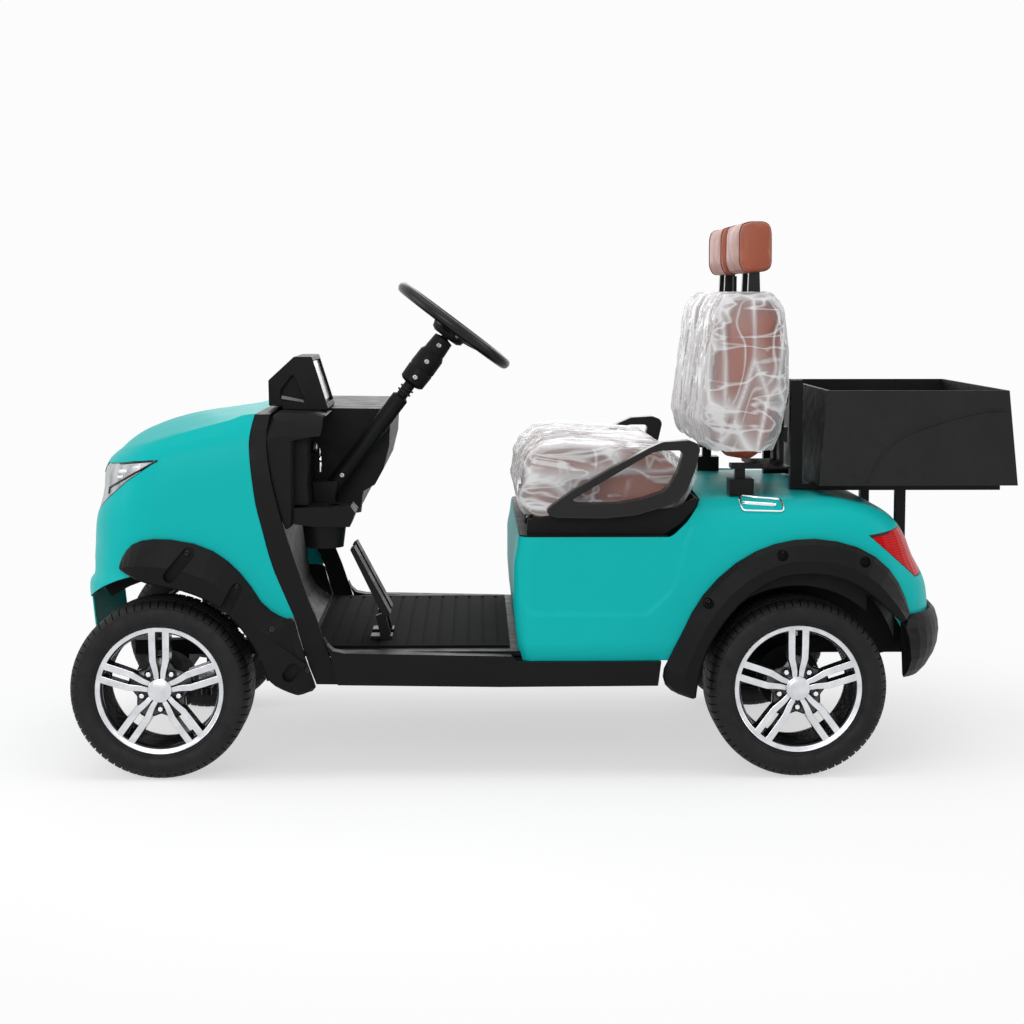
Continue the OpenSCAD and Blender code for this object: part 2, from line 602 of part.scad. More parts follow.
// Steering column. The wheel's centre is given from the front axle's centre.
hub_at = [-759, driver_y, 934];
column_up = [-cos(column_lean), 0, sin(column_lean)];
module on_column(h = 0) { translate(hub_at + column_up * h) rotate([0, column_lean - 90, 0]) children(); }
// [start, radius, length], along the column from the steering wheel
column_parts = [[-580, 23, 348], [-235, 15, 45], [-195, 36, 110], [-88, 30, 48], [-42, 11, 36]];
module steering_column() {
    color(black) at_front() {        for (p = column_parts) on_column(p[0])
        cylinder(r = p[1], h = p[2], $fn = 40);
        // clamp on the knee panel
        for (y = [driver_y - 31, driver_y + 20])
            across(y, y + 11, [[-382.3 - fit, 455], [-378 - fit, 520], [-452, 520], [-436, 455]]);
    }
}
module steering_wheel() {
    color(black) at_front() on_column() {
        rotate_extrude($fn = 72) translate([wheel_d / 2, 0]) circle(r = wheel_rim_t / 2, $fn = 24);
        difference() {
            union() {
                translate([0, 0, -34]) cylinder(r = 30, h = 30, $fn = 48);
                translate([0, 0, -16]) cylinder(r = 52, h = 15, $fn = 64);
                for (a = [60, 180, 300]) rotate([0, 0, a])
                    translate([20, -15, -10]) cube([wheel_d / 2 - 20, 30, 8]);
            }
            translate([0, 0, -56]) cylinder(r = 11 + run, h = 50.5, $fn = 32);
        }
    }
}
pedal_w = 72;
pedal_ys = [tray_y[0] - 165, tray_y[0] - 45];
pedal_foot = floor_rise + 6 + fit;      // on the mat, above the floor
module pedals() {
    color(black) at_front() for (y = pedal_ys) {
        difference() {
            across(y - pedal_w / 2, y + pedal_w / 2, [[-493, 348], [-482, 341], [-570, 158], [-588, 168]]);
            // slots along the plate
            for (s = [-1, 1]) for (t = [0, 1])
                translate([-536 + 37 * t, y + 17 * s - 5, 220 + 68 * t]) rotate([0, 26, 0])
                    translate([-30, 0, -24]) cube([60, 10, 50]);
        }
        across(y - 14, y + 14, [[-572, 170], [-548, 160], [-560, 106], [-588, 106]]);
        across(y - 30, y + 30, [[-592, pedal_foot], [-592, pedal_foot + 8], [-535, pedal_foot + 8],
            [-535, pedal_foot]]);
    }
}

// Seats, from the rear axle's centre.
tub_half = half_w - 32 - fit;
well_half = half_w - 170;
seat_pin = [690, 411];
lug_y = half_w - 320;
rim_half = half_w - 7;
rim_front = seat_box_ahead - 12;
tub_rim = [[340, rim_half], for (a = [0 : 15 : 90]) [rim_front - 42 * (1 - sin(a)),
    rim_half - 42 * (1 - cos(a))],
           for (a = [90 : -15 : 0]) [rim_front - 42 * (1 - sin(a)), 42 * (1 - cos(a)) - rim_half],
               [340, -rim_half]];
module seat_tub() {
    path = [[703, 404], [355, 404], [307, 435], [275, 473], [267, 493]];
    ends = [seat_box_ahead - 31, 0];
    color(black) at_rear() difference() {
        union() {            across(-tub_half, tub_half, ribbon(path, -9));
            translate([0, 0, 394.3]) linear_extrude(4) difference() {
                polygon(tub_rim);
                translate([320, 5 - tub_half]) square([380, 2 * tub_half - 10]);
            }
            both_sides() across(tub_half - 19, tub_half,
                [[703, 399], [701, 438], [610, 446], [600, 474], [440, 478], [430, 458], [315, 467],
                [267, 493], [275, 473], [307, 435], [355, 399]]);
            both_sides() for (y = [lug_y - 8, lug_y + 60])
                across(y, y + 8, [[679, 399], [679, 419], [701, 419], [701, 399]]);
        }
        translate([383, -well_half, 367]) cube([284, 2 * well_half, 60]);
        both_sides() along_y(seat_pin[0], seat_pin[1], 15, lug_y, lug_y + 60);
    }
    color(black) at_rear() both_sides() along_y(seat_pin[0], seat_pin[1], 5, lug_y - 5, lug_y + 65);
}
module seat_board() {
    color(black) at_rear() difference() {
        union() {
            beam(369, 675, well_half + 14, 404.3, 416.3);
            both_sides() translate([674, lug_y + free, 404.5]) cube([16, 50, 11.6]);
            both_sides() along_y(seat_pin[0], seat_pin[1], 10, lug_y + free, lug_y + free + 50);
        }
        both_sides() along_y(seat_pin[0], seat_pin[1], 5 + run, lug_y, lug_y + 60);
    }
}
module battery_pack() {
    color([0.25, 0.25, 0.25]) beam(rear_x + seat_box_ahead - 359, rear_x + seat_box_ahead - 89,
        half_w - 230, floor_z + fit,
        floor_z + 275);
}

// The bumper's plan line from the left end to the middle: [ahead of the rear axle, from the middle plane]
bumper_off = 9.4;       // its section's origin lies this far outside the body
function tail_plan(a) = [tail_turn - tail_len * pow(cos(a), 2 / tail_round),
    half_w * pow(sin(a), 2 / tail_round)];
bumper_plan = [for (a = [72, 60, 48, 36, 24, 12, 4, 0])
    let (d = tail_plan(a + 1) - tail_plan(max(a - 1, 0)))
    tail_plan(a) + bumper_off * (a > 0 ? [-d[1], d[0]] / norm(d) : [-1, 0])];
bumper_section = [[-7, 184], [2, 190.4], [14, 178], [21, 155], [24, 127], [21, 98], [12, 70], [-6, 38],
                  [-24, 18], [-28, 26], [-12, 52], [4, 86], [10, 118], [10, 145], [0, 172]];
bumper_steps = 12;
// [height, radius about the axle's centre where the bumper starts]: below, and then beyond, the flare
bumper_reach = [[100, rear_arch_r - 12], [150, rear_arch_r + 1], [170, rear_arch_r + 4],
    [172, rear_arch_r + 8], [178, rear_arch_r + 20], [184, rear_arch_r + 32], [190, rear_arch_r + 45]];
bumper_starts = [for (i = [7 : -1 : 0]) [bumper_plan[i][0], i]];
// A section point at u, which runs from the left end, 0, over the middle, 1, to the right end, 2.
// Each height starts where the wheel arch leaves off.
function bumper_point(p, u) =
    let (start = lookup(-sqrt(pow(lookup(p[1], bumper_reach), 2)
         - p[1] * p[1]), bumper_starts),
         t = mix(start, 7, u > 1 ? 2 - u : u),
         a = through(bumper_plan, max(t - 0.1, 0)), b = through(bumper_plan, min(t + 0.1, 7)),
         d = (b - a) / norm(b - a), q = through(bumper_plan, t) + p[0] * [d[1], t > 6.99 ? 0 : -d[0]])
    [q[0], u > 1 ? -q[1] : q[1], p[1]];
module rear_bumper() {
    color(black) at_rear()
        skin([for (i = [0 : 2 * bumper_steps]) [for (p = bumper_section)
            bumper_point(p, i / bumper_steps)]]);
}

arm_outer = [[654, 480], [650, 452], [626, 445], [412, 444], [361, 465], [310, 496], [290, 529], [259, 606],
             [260, 634], [285, 645], [367, 645], [405, 630], [525, 557]];
arm_inner = [[600, 479], [388, 605], [367, 611], [319, 611], [327, 545], [361, 511], [413, 489]];
module armrests() {
    color(black) at_rear() both_sides() {
        difference() {
            across(half_w - 32, half_w + 16, soft(arm_outer, 22));
            across(half_w - 40, half_w + 30, soft(arm_inner, 14));
        }
    }
}

// Backrests and the frame that carries them.
back_in = back_gap / 2;
back_out = half_w - back_inset;
back_mid = (back_in + back_out) / 2;
post_y = half_w - 160;
back_profile = [[176, 1009], [62, 1009], [34, 975], [20, 868], [24, 761], [44, 654], [70, 600],
                [110, 573], [178, 584], [218, 627], [232, 681], [220, 807], [205, 917], [197, 977]];
head_profile = [[138, 1205], [115, 1213], [70, 1213], [53, 1201], [48, 1179], [47, 1097], [53, 1079],
                [70, 1071], [120, 1067], [134, 1073], [145, 1097], [145, 1182]];
seat_profile = [[709, 467], [715, 491], [705, 557], [689, 590], [653, 619], [585, 625], [357, 610],
    [293, 567], [269, 537],
                [293, 483], [315, 463], [345, 443], [395, 416.6], [665, 416.6], [695, 439]];
// A cushion's outline, drawn in towards a point near its ends.
function drawn_in(outline, c, k, y) = [for (p = outline) let (q = c + (p - c) * k) [q[0], y, q[1]]];
end_steps = [[0, 0.86], [0.12, 0.93], [0.45, 0.98], [1, 1]];
module cushion(y0, y1, outline, c, r) {
    skin(concat([for (s = end_steps) drawn_in(outline, c, s[1], y0 + r * s[0])],
                [for (i = [len(end_steps) - 1 : -1 : 0]) drawn_in(outline, c, end_steps[i][1],
                y1 - r * end_steps[i][0])]));
}
module backrests() { color(leather) at_rear() both_sides() cushion(back_in, back_out, back_profile,
    [125, 787], 50); }
module headrests() { color(leather) at_rear() both_sides() cushion(back_in + 22, back_out - 56,
    head_profile, [96, 1139], 40); }
module seat_cushion() {
    color(leather) at_rear() cushion(-half_w + 32 + arm_gap, half_w - 32 - arm_gap, seat_profile,
        [495, 512], 60);
}
module headrest_posts() {
    color(black) at_rear() both_sides() for (y = [back_mid - 88, back_mid + 50])
        translate([85, y - 14, 1009.3]) cube([9, 28, 59.2]);
}
module seat_back_frame() {
    color(black) at_rear() {        both_sides() {
            translate([103, post_y - 32, 489.5]) cube([64, 64, 43]);
            translate([124, post_y - 13, 520]) cube([26, 26, 44]);
            translate([80, post_y - 30, 560]) cube([82, 60, 12.4]);
            translate([7.6, back_mid - 85, 560]) cube([92.4, post_y + 30 - back_mid + 85, 6]);
            for (y = [back_mid - 60, back_mid + 60]) translate([7.6, y - 25, 560]) cube([12, 50, 311]);
        }
        for (z = [627, 727]) beam(8.6, 18.6, back_out - 60, z, z + 40);
    }
}
module deck_handles() {
    color([0.8, 0.8, 0.82]) at_rear() both_sides() {
        for (x = [57, 143]) translate([x, half_w - 42, 471.6]) cylinder(r = 7.5, h = 25.4, $fn = 32);
        translate([48, half_w - 42, 491]) rotate([0, 90, 0]) cylinder(r = 5, h = 104, $fn = 32);
    }
}

// Cargo box. Its front rim is given from the rear axle.
box_bottom_z = axle_z + 514;
box_top_z = box_bottom_z + box_h;
box_x1 = rear_x - 93;
box_x0 = box_x1 - box_rim_l;
function lean_at(z) = box_lean * (box_top_z - z) / box_h;
module box_hull(grow, z0, z1) {
    corners = [for (z = [z0, z1]) let (l = lean_at(z) + grow, x0 = box_x0 - l, x1 = box_x1 + l,
        y = box_rim_w / 2 + l)
        [[x0, -y, z], [x1, -y, z], [x1, y, z], [x0, y, z]]];
    polyhedron(points = joined(corners),
               faces = [[0, 1, 2, 3], [7, 6, 5, 4], [0, 4, 5, 1], [1, 5, 6, 2], [2, 6, 7, 3],
                   [3, 7, 4, 0]]);
}
gate_half = box_rim_w / 2 - 16;
hinge_z = box_bottom_z + 21;
hinge_x = box_x0 - lean_at(hinge_z) + 6;
module gate_room(clear) {
    translate([box_x0 - 60, -gate_half - clear, hinge_z - clear]) cube([60 + 12, 2 * gate_half + 2 * clear,
        box_h]);
}
module cargo_box() {
    color(black) difference() {
        union() {
            difference() {
                box_hull(0, box_bottom_z, box_top_z);
                box_hull(-box_wall, box_bottom_z + box_wall, box_top_z + 10);
                gate_room(free);
            }
            both_sides() along_y(hinge_x, hinge_z, 9, gate_half + free, gate_half + 24);
        }
        both_sides() along_y(hinge_x, hinge_z, 4 + run, gate_half - 2, gate_half + 20);
        along_y(hinge_x, hinge_z, 7 + free, -gate_half - free, gate_half + free);
    }
}
module tailgate() {
    color(black) {
        intersection() {
            difference() {
                box_hull(0, box_bottom_z, box_top_z);
                box_hull(-box_wall, box_bottom_z - 20, box_top_z + 10);
            }
            gate_room(0);
        }
        along_y(hinge_x, hinge_z, 7, -gate_half, gate_half);
        along_y(hinge_x, hinge_z, 4, -gate_half - 18, gate_half + 18);
    }
}
module box_frame() {
    low = box_bottom_z - 24;
    color(black) {
        both_sides() {
            translate([box_x0 - 10, frame_w / 2, low - fit]) cube([box_rim_l + 20, strut_w[1], 24]);
            translate([rear_x + strut_x, frame_w / 2, rail_top + fit])
                cube([strut_w[0], strut_w[1], low + 4 - rail_top - fit]);            translate([rear_x - 47,
                    frame_w / 2, axle_z + 491.4]) cube([32, strut_w[1], 296]);
            translate([rear_x - 95, frame_w / 2, axle_z + 491.4]) cube([60, strut_w[1], 16]);
        }
        for (x = [box_x0 + 10, rear_x + strut_x + 4, box_x1 - 40])
            beam(x, x + 30, frame_w / 2 + 1, low, low + 20);
    }
}

// Running gear
pitman_y = 150;
pivot_z = [192, 208];
arm_z = [214, 226];
module front_axle() {
    color(black) at_front() {
        translate([-20, -360, -20]) cube([40, 720, 40]);
        both_sides() {
            translate([-20, 350, -44]) cube([40, 16, 86]);
            for (z = [-44, 30]) difference() {
                union() {
                    translate([-20, 360, z]) cube([40, kingpin_y - 360, 12]);
                    translate([0, kingpin_y, z]) cylinder(r = 20, h = 12, $fn = 48);
                }
            }
            translate([0, kingpin_y, -40]) cylinder(r = 10, h = 76, $fn = 32);
            translate([-35, rail_in, 19]) cube([70, 40, rail_top - rail_h - axle_z - 19 - fit]);
        }
    }
}
module knuckle(inwards) {
    at_front() translate([0, kingpin_y, 0]) {
        difference() {
            union() {
                translate([0, 0, -26]) cylinder(r = 22, h = 50, $fn = 48);
                translate([0, 30, 0]) rotate([90, 0, 0]) cylinder(r = 20, h = 18, $fn = 48);
                translate([0, 31 + stub_len, 0]) rotate([90, 0, 0]) cylinder(r = stub_r, h = stub_len + 2,
                    $fn = 48);
                translate([0, 33, 0]) rotate([90, 0, 0]) cylinder(r = 84, h = 5, $fn = 64);
                translate([-steer_arm, -11, arm_z[0] - axle_z])
                    cube([steer_arm - 10, 22, arm_z[1] - arm_z[0]]);
                translate([-steer_arm, 0, arm_z[0] - axle_z]) cylinder(r = 16, h = arm_z[1] - arm_z[0],
                    $fn = 48);
                translate([-steer_arm, 0, pivot_z[0] - axle_z])
                    cylinder(r = 7, h = arm_z[1] - pivot_z[0] - 1, $fn = 32);
            }
            translate([0, 0, -30]) cylinder(r = 10 + run, h = 60, $fn = 32);
        }
    }
}
stub_len = 70;
module tie_rod() {
    color([0.5, 0.5, 0.5]) translate([front_x - steer_arm, 0, 0]) difference() {
        union() {
            translate([0, kingpin_y, (pivot_z[0] + pivot_z[1]) / 2]) rotate([90, 0, 0])
                cylinder(r = 7, h = 2 * kingpin_y, $fn = 32);
            for (y = [-kingpin_y, kingpin_y]) translate([0, y, pivot_z[0]])
                cylinder(r = 14, h = 16, $fn = 48);
            translate([-80, pitman_y - 9, pivot_z[0] + 1]) cube([80, 18, 14]);
            translate([-80, pitman_y, pivot_z[0]]) cylinder(r = 14, h = 16, $fn = 48);
        }
        for (y = [-kingpin_y, kingpin_y]) translate([0, y, pivot_z[0] - 2])
            cylinder(r = 7 + run, h = 20, $fn = 32);
        translate([-80, pitman_y, pivot_z[0] - 2]) cylinder(r = 7 + run, h = 20, $fn = 32);
    }
}
module pitman_arm() {
    color([0.5, 0.5, 0.5]) translate([front_x - steer_arm - 80, pitman_y, 0]) {
        translate([0, -10, arm_z[0]]) cube([steer_arm, 20, 12]);
        translate([0, 0, arm_z[0]]) cylinder(r = 15, h = 12, $fn = 48);
        translate([0, 0, pivot_z[0]]) cylinder(r = 7, h = 30, $fn = 32);
        translate([steer_arm, 0, arm_z[0]]) cylinder(r = 17, h = 12, $fn = 48);
        translate([steer_arm, 0, arm_z[0] + 1]) cylinder(r = 10,
            h = rail_top - rail_h + 3 - arm_z[0] - 1 - 1, $fn = 32);
    }
}
module rear_axle() {
    color(black) at_rear() {
        along_y(0, 0, 30, -380, 380);
        along_y(0, 0, 80, -70, 70);
        along_y(0, 0, stub_r, -wheel_y - 20, wheel_y + 20);
        both_sides() along_y(0, 0, 84, 380, 392);
        translate([30, -60, -50]) cube([150, 120, 95]);
        along_y(150, 0, 72, -150, 110);
    }
}
module rear_springs() {
    color(black) at_rear() both_sides() {
        across(rail_in - 4, rail_in + 34, ribbon([[-220, 26], [-120, -16], [-40, -30.3], [40, -30.3],
            [120, -16], [220, 26]], 10));
        for (x = [-228, 212]) translate([x, rail_in, 18])
            cube([16, 30, rail_top - rail_h - axle_z - 18 - fit]);
    }
}
tread = 5;
module tyre(y) {
    shoulder = tyre_w / 2;
    bead = rim_r - 12;
    ribs = [-60, -34, -26, -4, 4, 26, 34, 60];
    crown = [for (i = [0 : 3]) each [[tyre_r, ribs[2 * i]], [tyre_r, ribs[2 * i + 1]],
        each i < 3 ? [[tyre_r - tread, ribs[2 * i + 1] + 1], [tyre_r - tread, ribs[2 * i + 2] - 1]] : []]];
    outer = concat([[bead, -84], [rim_r + 6, -88], [rim_r + 26, -shoulder], [tyre_r - 18, -shoulder + 4],
                    [tyre_r - 4, -shoulder + 20]], crown,
                   [[tyre_r - 4, shoulder - 20], [tyre_r - 18, shoulder - 4], [rim_r + 26, shoulder],
                   [rim_r + 6, 88],
                    [bead, 84]]);
    inner = [[bead, 74], [rim_r + 14, 78], [tyre_r - 30, 80], [tyre_r - 20, 60], [tyre_r - 20, -60],
        [tyre_r - 30, -80],
             [rim_r + 14, -78], [bead, -74]];
    color([0.06, 0.06, 0.06]) translate([0, y, 0]) rotate([-90, 0, 0])
        rotate_extrude($fn = 96) polygon(concat(outer, inner));
}
// One wheel. Five pairs of spokes run from the hub to the machined ring.
spokes = 5;
pair_half = [14, 25];   // half the width of a pair, at the hub and at the ring
slot_half = 8;
face_z = 84;            // the spokes' outer face, from the wheel's middle plane
module spoke_pair(grow = 0) {
    polygon([[20, -pair_half[0] - grow], [46, -pair_half[0] - grow], [80, -pair_half[1] - grow],
        [rim_r, -pair_half[1] - grow],
             [rim_r, pair_half[1] + grow], [80, pair_half[1] + grow], [46, pair_half[0] + grow],
             [20, pair_half[0] + grow]]);
}
module each_spoke() { for (i = [0 : spokes - 1]) rotate(360 / spokes * i - 90) children(); }
module rim(y) {
    color([0.8, 0.8, 0.82]) translate([0, y, 0]) rotate([-90, 0, 0]) difference() {
        union() {
            rotate_extrude($fn = 96)
                polygon([[rim_r - 22, -92], [rim_r - 2, -92], [rim_r - 2, -90], [rim_r - 12.3, -84.5],
                         [rim_r - 12.3, 84.5], [rim_r - 2, 89], [rim_r, 92], [rim_r - 9, 92],
                         [rim_r - 14, 84],
                         [rim_r - 17, 60], [rim_r - 20, 40], [rim_r - 22, -60]]);
            translate([0, 0, face_z - 26]) linear_extrude(26) difference() {
                each_spoke() spoke_pair();
                each_spoke() translate([58, -slot_half]) square([rim_r - 74, 2 * slot_half]);
                each_spoke() translate([58, 0]) circle(r = slot_half, $fn = 32);
                difference() {
                    circle(r = rim_r + 10, $fn = 96);
                    circle(r = rim_r - 14, $fn = 96);
                }
            }
            translate([0, 0, face_z - 46]) cylinder(r = 82, h = 26, $fn = 96);
            translate([0, 0, -40]) cylinder(r = 44, h = face_z, $fn = 64);
            translate([0, 0, face_z - 20]) cylinder(r = 30, h = 24, $fn = 64);
        }
        translate([0, 0, -60]) cylinder(r = stub_r + run, h = stub_room, $fn = 48);
        // lug nut seats
        for (i = [0 : spokes - 1]) rotate(360 / spokes * (i + 0.5) - 90) translate([50, 0, face_z - 30])
            cylinder(r = 11, h = 40, $fn = 32);
    }
}
stub_room = 110;
module right() { mirror([0, 1, 0]) children(); }

frame();
cross_members();
knee_panel();
dash_pillars();
outriggers();
floor_pan();
floor_mat();
sills();
cowl();
nose_grille();
cowl_band();
headlamps();
front_flares();
dashboard();
display_pod();
display_screen();
cup_trays();
steering_column();
pedals();
rear_body();
seat_tub();
battery_pack();
rear_flares();
tail_lamps();
rear_bumper();
armrests();
seat_back_frame();
backrests();
headrests();
headrest_posts();
box_frame();
cargo_box();
deck_handles();
front_axle();
rear_axle();
rear_springs();
seat_board();
seat_cushion();
tailgate();
steering_wheel();
color([0.5, 0.5, 0.5]) knuckle();  // knuckle_left
color([0.5, 0.5, 0.5]) right() knuckle();  // knuckle_right
tie_rod();
pitman_arm();
at_front() tyre(wheel_y);  // tyre_front_left
at_front() right() tyre(wheel_y);  // tyre_front_right
at_rear() tyre(wheel_y);  // tyre_rear_left
at_rear() right() tyre(wheel_y);  // tyre_rear_right
at_front() rim(wheel_y);  // rim_front_left
at_front() right() rim(wheel_y);  // rim_front_right
at_rear() rim(wheel_y);  // rim_rear_left
at_rear() right() rim(wheel_y);  // rim_rear_right
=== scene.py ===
import json
import math
import random

import bmesh
import bpy
from mathutils.bvhtree import BVHTree
from mathutils import Matrix, Vector, noise


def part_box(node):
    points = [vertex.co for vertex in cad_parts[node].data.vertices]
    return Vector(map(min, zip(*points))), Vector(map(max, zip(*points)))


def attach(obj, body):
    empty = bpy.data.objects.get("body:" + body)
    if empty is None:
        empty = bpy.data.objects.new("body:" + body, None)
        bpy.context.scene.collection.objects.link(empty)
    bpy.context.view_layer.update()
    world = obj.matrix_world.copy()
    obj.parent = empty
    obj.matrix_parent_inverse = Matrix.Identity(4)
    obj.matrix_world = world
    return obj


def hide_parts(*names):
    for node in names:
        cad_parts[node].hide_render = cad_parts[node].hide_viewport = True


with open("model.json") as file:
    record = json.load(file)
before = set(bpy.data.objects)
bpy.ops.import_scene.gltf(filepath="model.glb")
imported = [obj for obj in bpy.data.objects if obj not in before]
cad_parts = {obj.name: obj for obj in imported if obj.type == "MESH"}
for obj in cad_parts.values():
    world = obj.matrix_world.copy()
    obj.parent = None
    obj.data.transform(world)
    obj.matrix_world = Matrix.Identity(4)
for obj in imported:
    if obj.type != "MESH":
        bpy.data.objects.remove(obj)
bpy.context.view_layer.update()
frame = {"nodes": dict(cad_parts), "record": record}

MM = 0.001
WHEELS = ("front_left", "front_right", "rear_left", "rear_right")
JOINTS = {j["name"]: j for j in frame["record"]["behaviour"]["joints"]}


def joint_at(name):
    return Vector(JOINTS[name]["pos_m"])


FRONT = joint_at("wheel_front_left")    # the front axle's left end
REAR = joint_at("wheel_rear_left")
HALF_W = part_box("cowl")[1][1]           # half the width over the body panels
TYRE_R = FRONT.z


# ---------------------------------------------------------------- materials

def srgb(r, g, b):
    """A colour given in 0-255 screen values, as linear light."""
    def lin(c):
        c /= 255
        return c / 12.92 if c <= 0.04045 else ((c + 0.055) / 1.055) ** 2.4
    return (lin(r), lin(g), lin(b), 1.0)


class Mat:
    """A node material under construction: named helpers round one Principled shader."""

    def __init__(self, name, color, rough=0.5, **sockets):
        self.m = bpy.data.materials.new(name)
        self.m.use_nodes = True
        self.t = self.m.node_tree
        self.p = self.t.nodes["Principled BSDF"]
        self.p.inputs["Base Color"].default_value = color
        self.p.inputs["Roughness"].default_value = rough
        self.color, self.rough = color, rough
        self.height = None
        for key, value in sockets.items():
            self.p.inputs[key.replace("_", " ")].default_value = value
        self.m.diffuse_color = color

    def node(self, kind, **props):
        n = self.t.nodes.new(kind)
        for k, v in props.items():
            if k in n.inputs.keys():
                n.inputs[k].default_value = v
            else:
                setattr(n, k, v)
        return n

    def link(self, a, b):
        self.t.links.new(a, b)

    def coords(self, scale=(1, 1, 1)):
        tc = self.node("ShaderNodeTexCoord")
        mp = self.node("ShaderNodeMapping")
        mp.inputs["Scale"].default_value = scale
        self.link(tc.outputs["Object"], mp.inputs["Vector"])
        return mp.outputs["Vector"]

    def noise(self, scale, detail=4.0, rough=0.5, stretch=(1, 1, 1), distortion=0.0):
        n = self.node("ShaderNodeTexNoise")
        n.inputs["Scale"].default_value = scale
        n.inputs["Detail"].default_value = detail
        n.inputs["Roughness"].default_value = rough
        n.inputs["Distortion"].default_value = distortion
        self.link(self.coords(stretch), n.inputs["Vector"])
        return n.outputs["Fac"]

    def voronoi(self, scale, feature="F1", stretch=(1, 1, 1), randomness=1.0):
        n = self.node("ShaderNodeTexVoronoi", feature=feature)
        n.inputs["Scale"].default_value = scale
        n.inputs["Randomness"].default_value = randomness
        self.link(self.coords(stretch), n.inputs["Vector"])
        return n.outputs["Distance"]

    def wave(self, scale, axis="X", kind="BANDS", distortion=0.0, profile="SIN"):
        n = self.node("ShaderNodeTexWave", wave_type=kind, wave_profile=profile)
        if kind == "BANDS":
            n.bands_direction = axis
        else:
            n.rings_direction = axis
        n.inputs["Scale"].default_value = scale
        n.inputs["Distortion"].default_value = distortion
        self.link(self.coords(), n.inputs["Vector"])
        return n.outputs["Fac"]

    def ramp(self, source, stops):
        """Maps a value through (position, value) stops."""
        r = self.node("ShaderNodeValToRGB")
        e = r.color_ramp.elements
        while len(e) < len(stops):
            e.new(0.5)
        for el, (pos, val) in zip(e, stops):
            el.position = pos
            el.color = val if isinstance(val, tuple) else (val, val, val, 1)
        self.link(source, r.inputs["Fac"])
        return r.outputs["Color"]

    def tint(self, source, low, high):
        """Base colour varies between two colours."""
        self.link(self.ramp(source, [(0.3, low), (0.7, high)]), self.p.inputs["Base Color"])
        return self

    def vary_rough(self, source, low, high):
        self.link(self.ramp(source, [(0.3, low), (0.7, high)]), self.p.inputs["Roughness"])
        return self

    def bump(self, source, strength, distance):
        b = self.node("ShaderNodeBump")
        b.inputs["Strength"].default_value = strength
        b.inputs["Distance"].default_value = distance
        self.link(source, b.inputs["Height"])
        if self.height:
            self.link(self.height, b.inputs["Normal"])
        self.height = b.outputs["Normal"]
        self.link(self.height, self.p.inputs["Normal"])
        return self


def shade(c, k):
    return (c[0] * k, c[1] * k, c[2] * k, 1.0)


